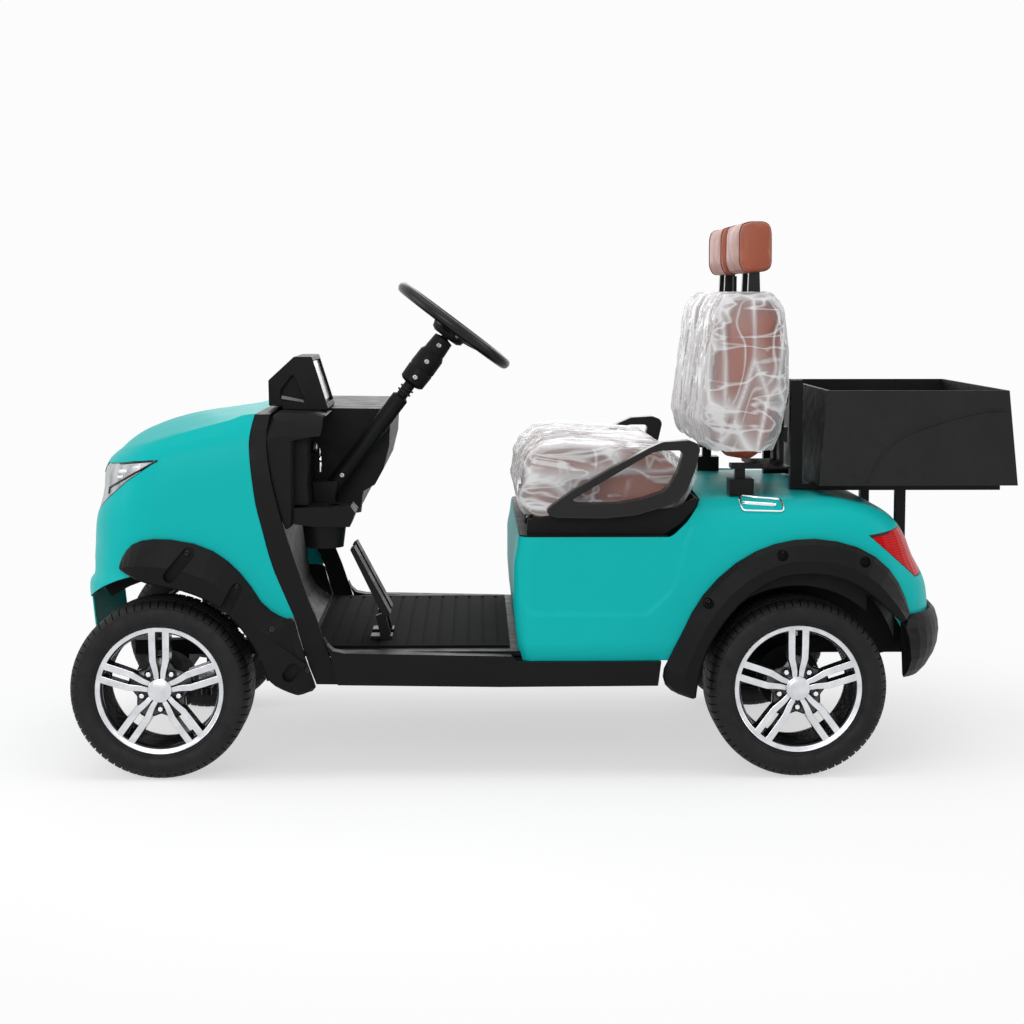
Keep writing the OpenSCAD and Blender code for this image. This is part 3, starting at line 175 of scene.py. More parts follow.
def make_materials():
    m = {}

    teal = srgb(20, 190, 188)
    t = Mat("teal_paint", teal, 0.42, Coat_Weight=0.03, Coat_Roughness=0.15, Specular_IOR_Level=0.05)
    t.tint(t.noise(2.3, 3), shade(teal, 0.97), shade(teal, 1.03))
    t.vary_rough(t.noise(14, 4), 0.38, 0.46)
    t.bump(t.noise(420, 2), 0.05, 0.0004)
    m["teal"] = t

    black = srgb(17, 17, 18)
    t = Mat("moulded_black", black, 0.48, Specular_IOR_Level=0.12)
    t.tint(t.noise(5, 5), shade(black, 0.85), shade(black, 1.2))
    t.vary_rough(t.noise(22, 4), 0.40, 0.54)
    t.bump(t.voronoi(900), 0.16, 0.0004)
    t.bump(t.noise(260, 3), 0.10, 0.0005)
    m["plastic"] = t

    t = Mat("satin_black", srgb(10, 10, 11), 0.3, Specular_IOR_Level=0.3)
    t.tint(t.noise(9, 5), srgb(8, 8, 9), srgb(14, 14, 15))
    t.bump(t.noise(320, 3), 0.06, 0.0004)
    m["satin"] = t

    t = Mat("grained_black", srgb(15, 15, 16), 0.55, Specular_IOR_Level=0.25)
    t.tint(t.noise(7, 5), srgb(11, 11, 12), srgb(19, 19, 20))
    t.bump(t.voronoi(420), 0.35, 0.0008)
    t.bump(t.noise(60, 4), 0.08, 0.001)
    m["grained"] = t

    t = Mat("box_plastic", srgb(15, 15, 16), 0.5, Specular_IOR_Level=0.26)
    t.tint(t.noise(9, 6), srgb(12, 12, 13), srgb(20, 20, 21))
    t.vary_rough(t.noise(30, 5), 0.42, 0.6)
    t.bump(t.voronoi(520), 0.4, 0.0008)
    t.bump(t.noise(140, 4), 0.15, 0.0008)
    m["box"] = t

    t = Mat("frame_paint", srgb(11, 11, 12), 0.4, Specular_IOR_Level=0.16)
    t.tint(t.noise(12, 5), srgb(9, 9, 10), srgb(17, 17, 18))
    t.bump(t.noise(300, 3), 0.12, 0.0004)
    m["frame"] = t

    t = Mat("mat_rubber", srgb(12, 12, 13), 0.85, Specular_IOR_Level=0.08)
    t.tint(t.noise(9, 6), srgb(9, 9, 10), srgb(17, 17, 18))
    t.bump(t.noise(320, 4), 0.3, 0.0006)
    m["mat"] = t

    tan = srgb(158, 78, 50)
    t = Mat("seat_leather", tan, 0.42, Sheen_Weight=0.05)
    t.tint(t.noise(6, 5), shade(tan, 0.82), shade(tan, 1.15))
    t.vary_rough(t.noise(18, 4), 0.36, 0.5)
    t.bump(t.voronoi(330, "DISTANCE_TO_EDGE"), 0.35, 0.0007)
    t.bump(t.noise(28, 5), 0.12, 0.002)
    m["leather"] = t

    t = Mat("seat_thread", srgb(120, 58, 38), 0.7)
    t.tint(t.noise(60, 3), srgb(105, 50, 34), srgb(140, 72, 48))
    m["thread"] = t

    t = Mat("plastic_film", (0.82, 0.82, 0.83, 1), 0.25, Specular_IOR_Level=0.3, Alpha=0.45)
    # Painted highlights: the two thin noise bands below are white highlight streaks painted into the film's alpha.
    painted_highlight_streaks = t.ramp(t.noise(5.5, 2, 0.5, (1.0, 1.6, 0.45), 0.6), [(0.465, 0.0), (0.5, 0.72), (0.515, 0.3), (0.535, 0.0)])
    painted_short_highlights = t.ramp(t.noise(9.0, 2, 0.5, (0.5, 1.2, 1.9), 0.8), [(0.46, 0.0), (0.5, 0.6), (0.54, 0.0)])
    # The first attribute is partly random cloudiness and partly painted sheen. The second is partly the real whitening
    # of creases and partly painted glint along them. Their sum whitens the film through its alpha.
    total = t.node("ShaderNodeAttribute", attribute_name="haze_and_sheen").outputs["Fac"]
    for part in (t.node("ShaderNodeAttribute", attribute_name="crease_and_glint").outputs["Fac"], painted_highlight_streaks, painted_short_highlights):
        both = t.node("ShaderNodeMath", operation="MAXIMUM" if part is painted_highlight_streaks else "ADD")
        t.link(total, both.inputs[0])
        t.link(part, both.inputs[1])
        total = both.outputs[0]
    t.link(t.ramp(total, [(0.0, 0.06), (0.5, 0.5), (1.0, 0.94)]), t.p.inputs["Alpha"])
    t.bump(t.noise(60, 3, 0.5), 0.12, 0.002)
    m["film"] = t

    t = Mat("tyre_rubber", srgb(15, 15, 16), 0.6, Specular_IOR_Level=0.28)
    t.tint(t.noise(11, 6), srgb(11, 11, 12), srgb(20, 20, 21))
    t.vary_rough(t.noise(40, 4), 0.52, 0.72)
    t.bump(t.noise(260, 4), 0.18, 0.0006)
    m["tyre"] = t

    t = Mat("machined_alloy", srgb(214, 216, 219), 0.24, Metallic=1.0)
    t.tint(t.noise(30, 4), srgb(200, 202, 206), srgb(226, 228, 231))
    t.bump(t.wave(260, "Y", "RINGS"), 0.05, 0.0003)
    m["alloy"] = t

    t = Mat("rim_black", srgb(17, 17, 18), 0.26, Coat_Weight=0.6, Coat_Roughness=0.08)
    t.tint(t.noise(20, 4), srgb(13, 13, 14), srgb(24, 24, 25))
    t.bump(t.noise(240, 2), 0.06, 0.0004)
    m["rim_black"] = t

    t = Mat("steel", srgb(176, 178, 181), 0.32, Metallic=1.0)
    t.tint(t.noise(50, 5), srgb(150, 152, 155), srgb(196, 198, 200))
    t.bump(t.noise(160, 4), 0.12, 0.0004)
    m["steel"] = t

    t = Mat("cast_iron", srgb(70, 70, 72), 0.55, Metallic=0.9)
    t.tint(t.noise(40, 5), srgb(52, 51, 51), srgb(88, 87, 86))
    t.bump(t.noise(200, 5), 0.35, 0.0008)
    m["cast"] = t

    t = Mat("chrome", srgb(232, 234, 236), 0.07, Metallic=1.0)
    t.vary_rough(t.noise(60, 4), 0.05, 0.11)
    m["chrome"] = t

    t = Mat("lamp_glass", (0.97, 0.98, 1, 1), 0.03, Transmission_Weight=0.9, IOR=1.25, Alpha=0.28)
    t.vary_rough(t.noise(30, 3), 0.02, 0.05)
    m["glass"] = t

    t = Mat("lamp_reflector", srgb(150, 152, 155), 0.25, Metallic=0.3, Specular_IOR_Level=0.3)
    # The stretched dark and bright streaks in the reflector's colour are painted reflections.
    t.tint(t.noise(16, 3, 0.5, (1, 1, 0.4)), srgb(66, 67, 70), srgb(206, 208, 211))
    t.bump(t.wave(120, "X"), 0.15, 0.0006)
    m["reflector"] = t

    t = Mat("lamp_white", srgb(240, 243, 245), 0.3, Emission_Strength=0.15)
    t.p.inputs["Emission Color"].default_value = (1, 1, 1, 1)
    t.tint(t.noise(60, 3), srgb(230, 233, 236), srgb(248, 250, 251))
    m["lamp_white"] = t

    red = srgb(205, 8, 14)
    t = Mat("red_lens", red, 0.3, Coat_Weight=0.02, Coat_Roughness=0.05, Specular_IOR_Level=0.06)
    t.tint(t.wave(48, "Z"), shade(red, 0.72), shade(red, 1.15))
    t.bump(t.wave(90, "X"), 0.2, 0.0008)
    m["red"] = t

    t = Mat("screen", srgb(196, 199, 202), 0.2, Coat_Weight=0.5)
    t.tint(t.noise(14, 5, distortion=0.5), srgb(176, 179, 182), srgb(214, 216, 218))
    t.bump(t.noise(70, 4), 0.1, 0.0006)
    m["screen"] = t

    t = Mat("grey_rubber", srgb(104, 105, 108), 0.5, Metallic=0.2)
    t.tint(t.noise(60, 4), srgb(88, 89, 92), srgb(124, 125, 128))
    t.bump(t.noise(300, 3), 0.2, 0.0005)
    m["grey"] = t

    t = Mat("battery_case", srgb(40, 41, 43), 0.5)
    t.tint(t.noise(15, 4), srgb(32, 33, 35), srgb(50, 51, 53))
    t.bump(t.noise(200, 3), 0.15, 0.0006)
    m["battery"] = t
    return {k: v.m for k, v in m.items()}


MATS = make_materials()

# Material of each CAD node that stays in view, by the record's slot.
SLOT_MATS = {
    "frame_paint": "frame", "black_plastic": "plastic", "mat_rubber": "mat", "teal_panel": "teal",
    "lamp_lens": "reflector", "screen": "screen", "battery_case": "battery", "red_lens": "red",
    "armrest_plastic": "plastic", "seat_leather": "leather", "chrome": "chrome", "spring_steel": "cast",
    "box_plastic": "box", "cast": "cast", "tyre_rubber": "tyre", "wheel_alloy": "alloy"}
NODE_SLOT = {s["node"]: s["material_slot"] for s in frame["record"]["subparts"]}


def dress_nodes():
    for name, obj in frame["nodes"].items():
        mat = MATS[SLOT_MATS[NODE_SLOT[name]]]
        obj.data.materials.clear()
        obj.data.materials.append(mat)


dress_nodes()


# ---------------------------------------------------------------- mesh tools

def link(obj):
    bpy.context.scene.collection.objects.link(obj)
    return obj


def mesh_piece(name, verts, faces, mat, smooth=True, fix=True):
    me = bpy.data.meshes.new(name)
    me.from_pydata([tuple(v) for v in verts], [], faces)
    if fix:
        bm = bmesh.new()
        bm.from_mesh(me)
        bmesh.ops.remove_doubles(bm, verts=bm.verts, dist=1e-6)
        bmesh.ops.recalc_face_normals(bm, faces=bm.faces)
        bm.to_mesh(me)
        bm.free()
    for p in me.polygons:
        p.use_smooth = smooth
    me.materials.append(MATS[mat])
    return link(bpy.data.objects.new(name, me))


def modifier(obj, kind, **props):
    m = obj.modifiers.new(kind.lower(), kind)
    for k, v in props.items():
        setattr(m, k, v)
    return m


def bevel(obj, width, segments=2, angle=35):
    return modifier(obj, "BEVEL", width=width, segments=segments, limit_method="ANGLE", angle_limit=math.radians(angle),
                    harden_normals=True)


def subsurf(obj, levels=2):
    return modifier(obj, "SUBSURF", levels=levels, render_levels=levels)


def weighted(obj):
    return modifier(obj, "WEIGHTED_NORMAL", keep_sharp=True)


def bake(obj):
    """Applies every modifier."""
    dg = bpy.context.evaluated_depsgraph_get()
    me = bpy.data.meshes.new_from_object(obj.evaluated_get(dg))
    me.name = obj.name
    obj.modifiers.clear()
    old = obj.data
    obj.data = me
    bpy.data.meshes.remove(old)
    return obj


def cut(obj, *cutters, operation="DIFFERENCE"):
    """Cuts the pieces away and removes the cutters."""
    for c in cutters:
        modifier(obj, "BOOLEAN", object=c, operation=operation, solver="EXACT")
        bake(obj)
        old = c.data
        bpy.data.objects.remove(c)
        bpy.data.meshes.remove(old)
    return obj


def join(name, pieces):
    """Several meshes as one, each with its own materials."""
    verts, faces, mats, idx, smooth = [], [], [], [], []
    for p in pieces:
        bake(p)
        base = len(verts)
        for v in p.data.vertices:
            verts.append(p.matrix_world @ v.co)
        for f in p.data.polygons:
            faces.append([base + i for i in f.vertices])
            m = p.data.materials[f.material_index]
            if m not in mats:
                mats.append(m)
            idx.append(mats.index(m))
            smooth.append(f.use_smooth)
    me = bpy.data.meshes.new(name)
    me.from_pydata(verts, [], faces)
    for m in mats:
        me.materials.append(m)
    me.polygons.foreach_set("material_index", idx)
    me.polygons.foreach_set("use_smooth", smooth)
    me.update()
    for p in pieces:
        old = p.data
        bpy.data.objects.remove(p)
        bpy.data.meshes.remove(old)
    return link(bpy.data.objects.new(name, me))


def grid_faces(rows, cols, wrap_cols=False, wrap_rows=False):
    out = []
    for r in range(rows if wrap_rows else rows - 1):
        for c in range(cols if wrap_cols else cols - 1):
            r2, c2 = (r + 1) % rows, (c + 1) % cols
            out.append((r * cols + c, r * cols + c2, r2 * cols + c2, r2 * cols + c))
    return out


def lathe(name, centre, profile, n, mat, closed=False, axis="Y", start=0.0, smooth=True):
    """Turns (radius, offset) points about an axis through the centre."""
    verts = []
    for r, o in profile:
        for k in range(n):
            a = start + 2 * math.pi * k / n
            c, s = r * math.cos(a), r * math.sin(a)
            if axis == "Y":
                verts.append(centre + Vector((c, o, s)))
            elif axis == "Z":
                verts.append(centre + Vector((c, s, o)))
            else:
                verts.append(centre + Vector((o, c, s)))
    faces = grid_faces(len(profile), n, wrap_cols=True, wrap_rows=closed)
    obj = mesh_piece(name, verts, faces, mat, smooth)
    return obj


def prism(name, outline, y0, y1, mat, smooth=False):
    """An outline in X and Z, in metres, extruded along Y."""
    n = len(outline)
    verts = [Vector((x, y0, z)) for x, z in outline] + [Vector((x, y1, z)) for x, z in outline]
    faces = [tuple(range(n)), tuple(range(2 * n - 1, n - 1, -1))]
    faces += [(i, (i + 1) % n, n + (i + 1) % n, n + i) for i in range(n)]
    return mesh_piece(name, verts, faces, mat, smooth)


def frames_along(points, closed=False):
    """A pair of unit vectors across the path at each point, turned as little as possible."""
    n = len(points)
    tang = []
    for i in range(n):
        a = points[(i - 1) % n] if closed or i > 0 else points[i]
        b = points[(i + 1) % n] if closed or i < n - 1 else points[i]
        tang.append((b - a).normalized())
    ref = Vector((0, 0, 1)) if abs(tang[0].z) < 0.9 else Vector((1, 0, 0))
    u = (ref - tang[0] * ref.dot(tang[0])).normalized()
    out = []
    for t in tang:
        u = (u - t * u.dot(t)).normalized()
        out.append((u, t.cross(u)))
    return out


def tube(name, points, radius, mat, sides=16, closed=False, flat=1.0, caps=True):
    """A round bar along points; flat squeezes it across."""
    points = [Vector(p) for p in points]
    radii = radius if isinstance(radius, (list, tuple)) else [radius] * len(points)
    verts = []
    for p, r, (u, v) in zip(points, radii, frames_along(points, closed)):
        for k in range(sides):
            a = 2 * math.pi * k / sides
            verts.append(p + u * (r * math.cos(a)) + v * (r * flat * math.sin(a)))
    faces = grid_faces(len(points), sides, wrap_cols=True, wrap_rows=closed)
    if caps and not closed:
        n = len(points)
        faces += [tuple(range(sides - 1, -1, -1)), tuple(range((n - 1) * sides, n * sides))]
    return mesh_piece(name, verts, faces, mat)


def smooth_path(points, per=6, closed=False):
    """Catmull-Rom curve through the points."""
    pts = [Vector(p) for p in points]
    n = len(pts)
    out = []
    for i in range(n if closed else n - 1):
        p0 = pts[(i - 1) % n] if closed or i else pts[0]
        p1, p2 = pts[i], pts[(i + 1) % n]
        p3 = pts[(i + 2) % n] if closed or i < n - 2 else pts[-1]
        for k in range(per):
            t = k / per
            out.append(0.5 * ((2 * p1) + (p2 - p0) * t + (2 * p0 - 5 * p1 + 4 * p2 - p3) * t * t
                              + (3 * p1 - p0 - 3 * p2 + p3) * t ** 3))
    if not closed:
        out.append(pts[-1])
    return out


def rounded(outline, radius, steps=4):
    """A closed 2D outline with its corners rounded."""
    pts = [Vector(p) for p in outline]
    n = len(pts)
    out = []
    for i in range(n):
        p, a, b = pts[i], pts[i - 1], pts[(i + 1) % n]
        u, v = (a - p), (b - p)
        cosang = max(-0.999, min(0.999, u.normalized().dot(v.normalized())))
        ang = math.acos(cosang)
        cutback = min(radius / math.tan(ang / 2), u.length * 0.48, v.length * 0.48)
        s, e = p + u.normalized() * cutback, p + v.normalized() * cutback
        for k in range(steps + 1):
            t = k / steps
            out.append(tuple(s * (1 - t) ** 2 + p * (2 * t * (1 - t)) + e * t ** 2))
    return out


def hex_bolt(name, at, out, r, h, mat="frame", socket=True):
    """A round-headed bolt with a recessed socket; out is the direction it faces."""
    q = Vector((0, 0, 1)).rotation_difference(Vector(out))
    prof = [(0.0, h * 0.35), (r * 0.38, h * 0.35), (r * 0.42, h * 0.96), (r * 0.62, h), (r * 0.9, h * 0.72), (r, h * 0.3), (r, 0)]
    if not socket:
        prof[0], prof[1] = (0.0, h), (r * 0.3, h)
    n = 18
    verts = [Vector(at) + q @ Vector((a * math.cos(2 * math.pi * k / n), a * math.sin(2 * math.pi * k / n), b))
             for a, b in prof for k in range(n)]
    return mesh_piece(name, verts, grid_faces(len(prof), n, wrap_cols=True), mat)


def ride(obj, body, slot=None, *replaced):
    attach(obj, body)
    if replaced:
        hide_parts(*replaced)
    return obj


# ---------------------------------------------------------------- CAD nodes that stay

def shade_nodes():
    """Smooth shading with creases kept, for each node that stays in view."""
    for name, obj in frame["nodes"].items():
        for p in obj.data.polygons:
            p.use_smooth = True
        modifier(obj, "EDGE_SPLIT", split_angle=math.radians(28), use_edge_sharp=False)


shade_nodes()


# ---------------------------------------------------------------- wheels

def spoke_bar(name, centre, out, angle, side):
    """One bar of a pair of spokes: machined on its face, black down its sides."""
    path = [(0.022, 0.0075, 0.011, 0.080), (0.034, 0.0085, 0.013, 0.082), (0.046, 0.0095, 0.0145, 0.0835),
            (0.060, 0.0125, 0.0160, 0.0845), (0.078, 0.0168, 0.0172, 0.0855), (0.110, 0.0176, 0.0176, 0.0862),
            (0.138, 0.0178, 0.0178, 0.0868), (0.1575, 0.0178, 0.0182, 0.0872)]
    ca, sa = math.cos(angle), math.sin(angle)
    verts, rows = [], []
    for r, mid, width, face in path:
        deep = face - 0.030 - 0.012 * (r / 0.158)
        row = []
        for lat, off in ((mid - width / 2, face), (mid + width / 2, face), (mid + width / 2 + 0.0022, deep),
                         (mid - width / 2 - 0.0014, deep)):
            y = side * lat
            p = Vector((r * ca - y * sa, out * off, r * sa + y * ca))
            row.append(len(verts))
            verts.append(centre + p)
        rows.append(row)
    faces = []
    for a, b in zip(rows, rows[1:]):
        for k in range(4):
            faces.append((a[k], a[(k + 1) % 4], b[(k + 1) % 4], b[k]))
    faces += [tuple(rows[0][::-1]), tuple(rows[-1])]
    obj = mesh_piece(name, verts, faces, "rim_black", smooth=False)
    obj.data.materials.append(MATS["alloy"])
    obj.data.update()
    for p in obj.data.polygons:
        if p.normal.y * out > 0.9:
            p.material_index = 1
    bevel(obj, 0.0011, 2, 30)
    return obj


def make_rim(tag, centre, out):
    c = Vector(centre)
    flip = lambda prof: [(r, out * o) for r, o in prof]
    parts = []
    ring = lathe("ring", c, flip([(0.1515, 0.0835), (0.1535, 0.0868), (0.1560, 0.0880), (0.1625, 0.0884), (0.1648, 0.0902),
                                  (0.1650, 0.0918), (0.1634, 0.0920), (0.1560, 0.0905), (0.1545, 0.0900)][:5]
                                 + [(0.1650, 0.0905), (0.1648, 0.0860), (0.1590, 0.0835), (0.1530, 0.0820)]), 144, "alloy", closed=True)
    parts.append(ring)
    barrel = [(0.1535, 0.0840), (0.1505, 0.0815), (0.1490, 0.0760)]
    o = 0.070
    while o > -0.062:
        barrel += [(0.1478, o), (0.1478, o - 0.0055), (0.1463, o - 0.0062), (0.1463, o - 0.0085)]
        o -= 0.0095
    barrel += [(0.1478, -0.070), (0.1490, -0.083), (0.1630, -0.0880), (0.1640, -0.0915), (0.1600, -0.0915), (0.1515, -0.0860),
               (0.1510, 0.0), (0.1525, 0.0780)]
    parts.append(lathe("barrel", c, flip(barrel), 120, "rim_black", closed=True))
    # the web behind the spokes: its edge dips between the pairs
    n, web = 200, []
    levels = ((0.0, 0.060), (0.6, 0.062), (0.93, 0.060), (1.0, 0.055), (1.0, 0.036), (0.8, 0.032), (0.0, 0.030))
    for q, off in levels:
        for k in range(n):
            a = 2 * math.pi * k / n
            w = 0.5 + 0.5 * math.cos(5 * (a - math.radians(90)))
            r = q * (0.066 + 0.020 * w ** 0.8)
            web.append(c + Vector((r * math.cos(a), out * off, r * math.sin(a))))
    parts.append(mesh_piece("web", web, grid_faces(len(levels), n, wrap_cols=True), "rim_black"))
    parts.append(lathe("hub", c, flip([(0.0, 0.0330), (0.052, 0.033), (0.052, 0.0), (0.047, -0.020), (0.040, -0.036), (0.0, -0.036)]),
                       64, "rim_black"))
    for k in range(5):
        a = math.radians(90 + 72 * k)
        for side in (-1, 1):
            parts.append(spoke_bar("bar", c, out, a, side))
        # the bridge where a pair meets the cap
        b = a + math.radians(36)
        at = c + Vector((0.050 * math.cos(b), out * 0.060, 0.050 * math.sin(b)))
        parts.append(lathe("seat", at, flip([(0.0125, 0.0), (0.0125, 0.006), (0.0112, 0.0075), (0.0098, 0.0068), (0.0092, 0.001), (0.0, 0.001)]),
                           32, "rim_black"))
        nut = lathe("nut", at, flip([(0.0, 0.019), (0.0062, 0.019), (0.0080, 0.0172), (0.0084, 0.015), (0.0084, 0.0)]), 6, "chrome",
                    smooth=False, start=b)
        bevel(nut, 0.0006, 2, 30)
        parts.append(nut)
    cap = lathe("cap", c, flip([(0.0, 0.0905), (0.010, 0.0903), (0.020, 0.0893), (0.0245, 0.0880), (0.0262, 0.0872), (0.0275, 0.0876),
                                (0.0300, 0.0868), (0.0312, 0.0850), (0.0316, 0.0800), (0.0316, 0.0560)]), 72, "alloy")
    parts.append(cap)
    stem = tube("stem", [c + Vector((0.118 * math.cos(5.3), out * 0.072, 0.118 * math.sin(5.3))) +
                         Vector((0.03 * math.cos(5.3), out * -0.014, 0.03 * math.sin(5.3))) * k for k in (1.0, 0.6, 0.0)],
                [0.004, 0.0033, 0.0027], "plastic", 12)
    parts.append(stem)
    piece = join("wheel_rim_" + tag, parts)
    return ride(piece, "wheel_" + tag, "wheel_alloy", "rim_" + tag)


TYRE_PROFILE = [(0.1530, 0.0835), (0.1570, 0.0868), (0.1620, 0.0880), (0.1665, 0.0886), (0.1690, 0.0905), (0.1702, 0.0938),
                (0.1730, 0.0955), (0.1746, 0.0950), (0.1756, 0.0962), (0.1790, 0.0985), (0.1850, 0.1008), (0.1920, 0.1022),
                (0.2000, 0.1021), (0.2070, 0.1010), (0.2125, 0.0994), (0.2138, 0.0998), (0.2152, 0.0990), (0.2162, 0.0974),
                (0.2168, 0.0972), (0.2200, 0.0950), (0.2240, 0.0910), (0.2275, 0.0858), (0.2300, 0.0800), (0.2316, 0.0730),
                (0.2324, 0.0640), (0.2326, 0.0605), (0.2280, 0.0585), (0.2280, 0.0545), (0.2328, 0.0525), (0.2330, 0.0400),
                (0.2330, 0.0330), (0.2280, 0.0310), (0.2280, 0.0270), (0.2330, 0.0250), (0.2330, 0.0140), (0.2330, 0.0060),
                (0.2280, 0.0040)]


def make_tyre(tag, centre, out):
    """Tread blocks come from a radius that drops in the cross grooves, which are staggered from side to side."""
    c = Vector(centre)
    half = TYRE_PROFILE
    prof = half + [(r, -o) for r, o in reversed(half)]
    prof += [(0.1560, -0.0760), (0.1780, -0.0830), (0.2020, -0.0880), (0.2160, -0.0760), (0.2180, 0.0),
             (0.2160, 0.0760), (0.2020, 0.0880), (0.1780, 0.0830), (0.1560, 0.0760)]
    blocks = 68
    steps = [0.0, 0.055, 0.085, 0.30, 0.50, 0.70, 0.915, 0.945]
    verts = []
    for j, (r, o) in enumerate(prof):
        outer = j < 2 * len(half)
        for b in range(blocks):
            for q, t in enumerate(steps):
                shift = 0.0 if o > 0 else 0.5
                a = 2 * math.pi * (b + t + shift) / blocks
                depth = 0.0
                y = abs(o)
                groove = q in (0, 1, 7) and outer
                if groove and y > 0.060 and r > 0.2165:
                    depth = 0.0048 if r > 0.222 else 0.0026
                elif groove and 0.033 <= y < 0.054 and r > 0.229 and b % 2:
                    depth = 0.0035
                slant = 0.10 * (y - 0.03) if outer else 0.0
                a += slant * (1 if o > 0 else -1)
                rr = r - depth
                dy = o * (1 - depth * 0.35 / max(y, 0.03)) if depth and r < 0.228 else o
                verts.append(c + Vector((rr * math.cos(a), out * dy, rr * math.sin(a))))
    n = blocks * len(steps)
    obj = mesh_piece("wheel_tyre_" + tag, verts, grid_faces(len(prof), n, wrap_cols=True, wrap_rows=True), "tyre")
    modifier(obj, "EDGE_SPLIT", split_angle=math.radians(32), use_edge_sharp=False)
    bake(obj)
    return ride(obj, "wheel_" + tag, "tyre_rubber", "tyre_" + tag)


for wheel in WHEELS:
    at = joint_at("wheel_" + wheel)
    side = 1 if at.y > 0 else -1
    make_rim(wheel, at, side)
    make_tyre(wheel, at, side)


# ---------------------------------------------------------------- seats

def part_of_node(name, node, keep, mat="leather"):
    """A new object with those points of a CAD node's solid that keep() chooses."""
    bm = bmesh.new()
    bm.from_mesh(frame["nodes"][node].data)
    bmesh.ops.delete(bm, geom=[v for v in bm.verts if not keep(v.co)], context="VERTS")
    bmesh.ops.remove_doubles(bm, verts=bm.verts, dist=1e-5)
    me = bpy.data.meshes.new(name)
    bm.to_mesh(me)
    bm.free()
    me.materials.clear()
    me.materials.append(MATS[mat])
    return link(bpy.data.objects.new(name, me))


def remeshed(obj, voxel, grow, rounds):
    """An even mesh of the same form, moved out along its normals by grow."""
    modifier(obj, "REMESH", mode="VOXEL", voxel_size=voxel, use_smooth_shade=True)
    bake(obj)
    modifier(obj, "DISPLACE", strength=grow, mid_level=0.0)
    modifier(obj, "SMOOTH", factor=0.5, iterations=rounds)
    return bake(obj)


def stuffed(name, node, keep, seam_weight, shrink=0.012, cap=0.026, voxel=0.006, pressure=4.0):
    """A sewn cushion: the solid drawn in, held where seam_weight is 1 and blown up by a cloth simulation."""
    obj = remeshed(part_of_node(name, node, keep), voxel, -shrink, 8)
    start = [v.co.copy() for v in obj.data.vertices]
    weight = [seam_weight(co) for co in start]
    group = obj.vertex_groups.new(name="held")
    for i, w in enumerate(weight):
        group.add([i], w, "REPLACE")
    cloth = obj.modifiers.new("cloth", "CLOTH")
    s = cloth.settings
    s.quality = 4
    s.use_pressure = True
    s.uniform_pressure_force = pressure
    s.effector_weights.gravity = 0
    s.vertex_group_mass = "held"
    s.tension_stiffness = s.compression_stiffness = 12
    cloth.point_cache.frame_start, cloth.point_cache.frame_end = 1, 20
    for f in range(1, 21):
        bpy.context.scene.frame_set(f)
    bake(obj)
    bpy.context.scene.frame_set(1)
    for v, co in zip(obj.data.vertices, start):
        move = v.co - co
        if move.length > cap:
            v.co = co + move * (cap / move.length)
    modifier(obj, "SMOOTH", factor=0.5, iterations=2)
    return bake(obj)


def slice_loops(obj, at, normal, step=0.008):
    """Evenly stepped closed lines where a plane cuts a mesh."""
    bm = bmesh.new()
    bm.from_mesh(obj.data)
    got = bmesh.ops.bisect_plane(bm, geom=bm.verts[:] + bm.edges[:] + bm.faces[:], dist=1e-7,
                                 plane_co=Vector(at), plane_no=Vector(normal))
    near = {}
    for e in got["geom_cut"]:
        if isinstance(e, bmesh.types.BMEdge):
            a, b = e.verts
            near.setdefault(a, []).append(b)
            near.setdefault(b, []).append(a)
    loops, used = [], set()
    for first in near:
        if first in used:
            continue
        line, cur = [], first
        while cur is not None:
            used.add(cur)
            line.append(cur.co.copy())
            cur = next((v for v in near[cur] if v not in used), None)
        length = [0.0]
        for a, b in zip(line, line[1:] + line[:1]):
            length.append(length[-1] + (b - a).length)
        n = max(8, int(length[-1] / step))
        even, k = [], 0
        for i in range(n):
            d = length[-1] * i / n
            while length[k + 1] < d:
                k += 1
            t = (d - length[k]) / max(length[k + 1] - length[k], 1e-9)
            even.append(line[k].lerp(line[(k + 1) % len(line)], t))
        if len(line) > 12:
            loops.append(even)
    bm.free()
    return loops


def piping(name, obj, at, normal, radius=0.003, mat="leather", out=0.001):
    """Piping round a cushion where a plane cuts it."""
    pipes = []
    for loop in slice_loops(obj, at, normal):
        mid = sum(loop, Vector()) / len(loop)
        pipes.append(tube(name, [p + (p - mid).normalized() * out for p in loop], radius, mat, 8, closed=True))
    return pipes


def mirrored(obj, name):
    """A copy across the middle plane."""
    me = obj.data.copy()
    me.name = name
    me.transform(Matrix.Diagonal((1, -1, 1, 1)))
    me.flip_normals()
    return link(bpy.data.objects.new(name, me))


def band(value, centre, half):
    """1 on a line, falling to 0 at half away from it."""
    return max(0.0, 1 - abs(value - centre) / half)


def crumple(p, seed, scale, stretch):
    """Flat facets of crumpled film and the sharp creases between them: height, crease and cell value."""
    q = Vector((p.x * stretch[0], p.y * stretch[1], p.z * stretch[2])) * scale + Vector((seed, seed * 1.7, -seed))
    q += noise.noise_vector(q * 0.5) * 0.35
    dist, cells = noise.voronoi(q)
    edge = min(1.0, (dist[1] - dist[0]) * 2.2)
    tilt = noise.noise_vector(cells[0] * 7.3)
    height = 0.5 + 0.42 * (q - cells[0]).dot(tilt) + 0.35 * (1 - edge) ** 3
    cell = 0.5 + 0.5 * math.sin(cells[0].x * 41 + cells[0].z * 67 + cells[0].y * 13)
    return max(0.0, min(1.0, height)), (1 - edge) ** 4, cell


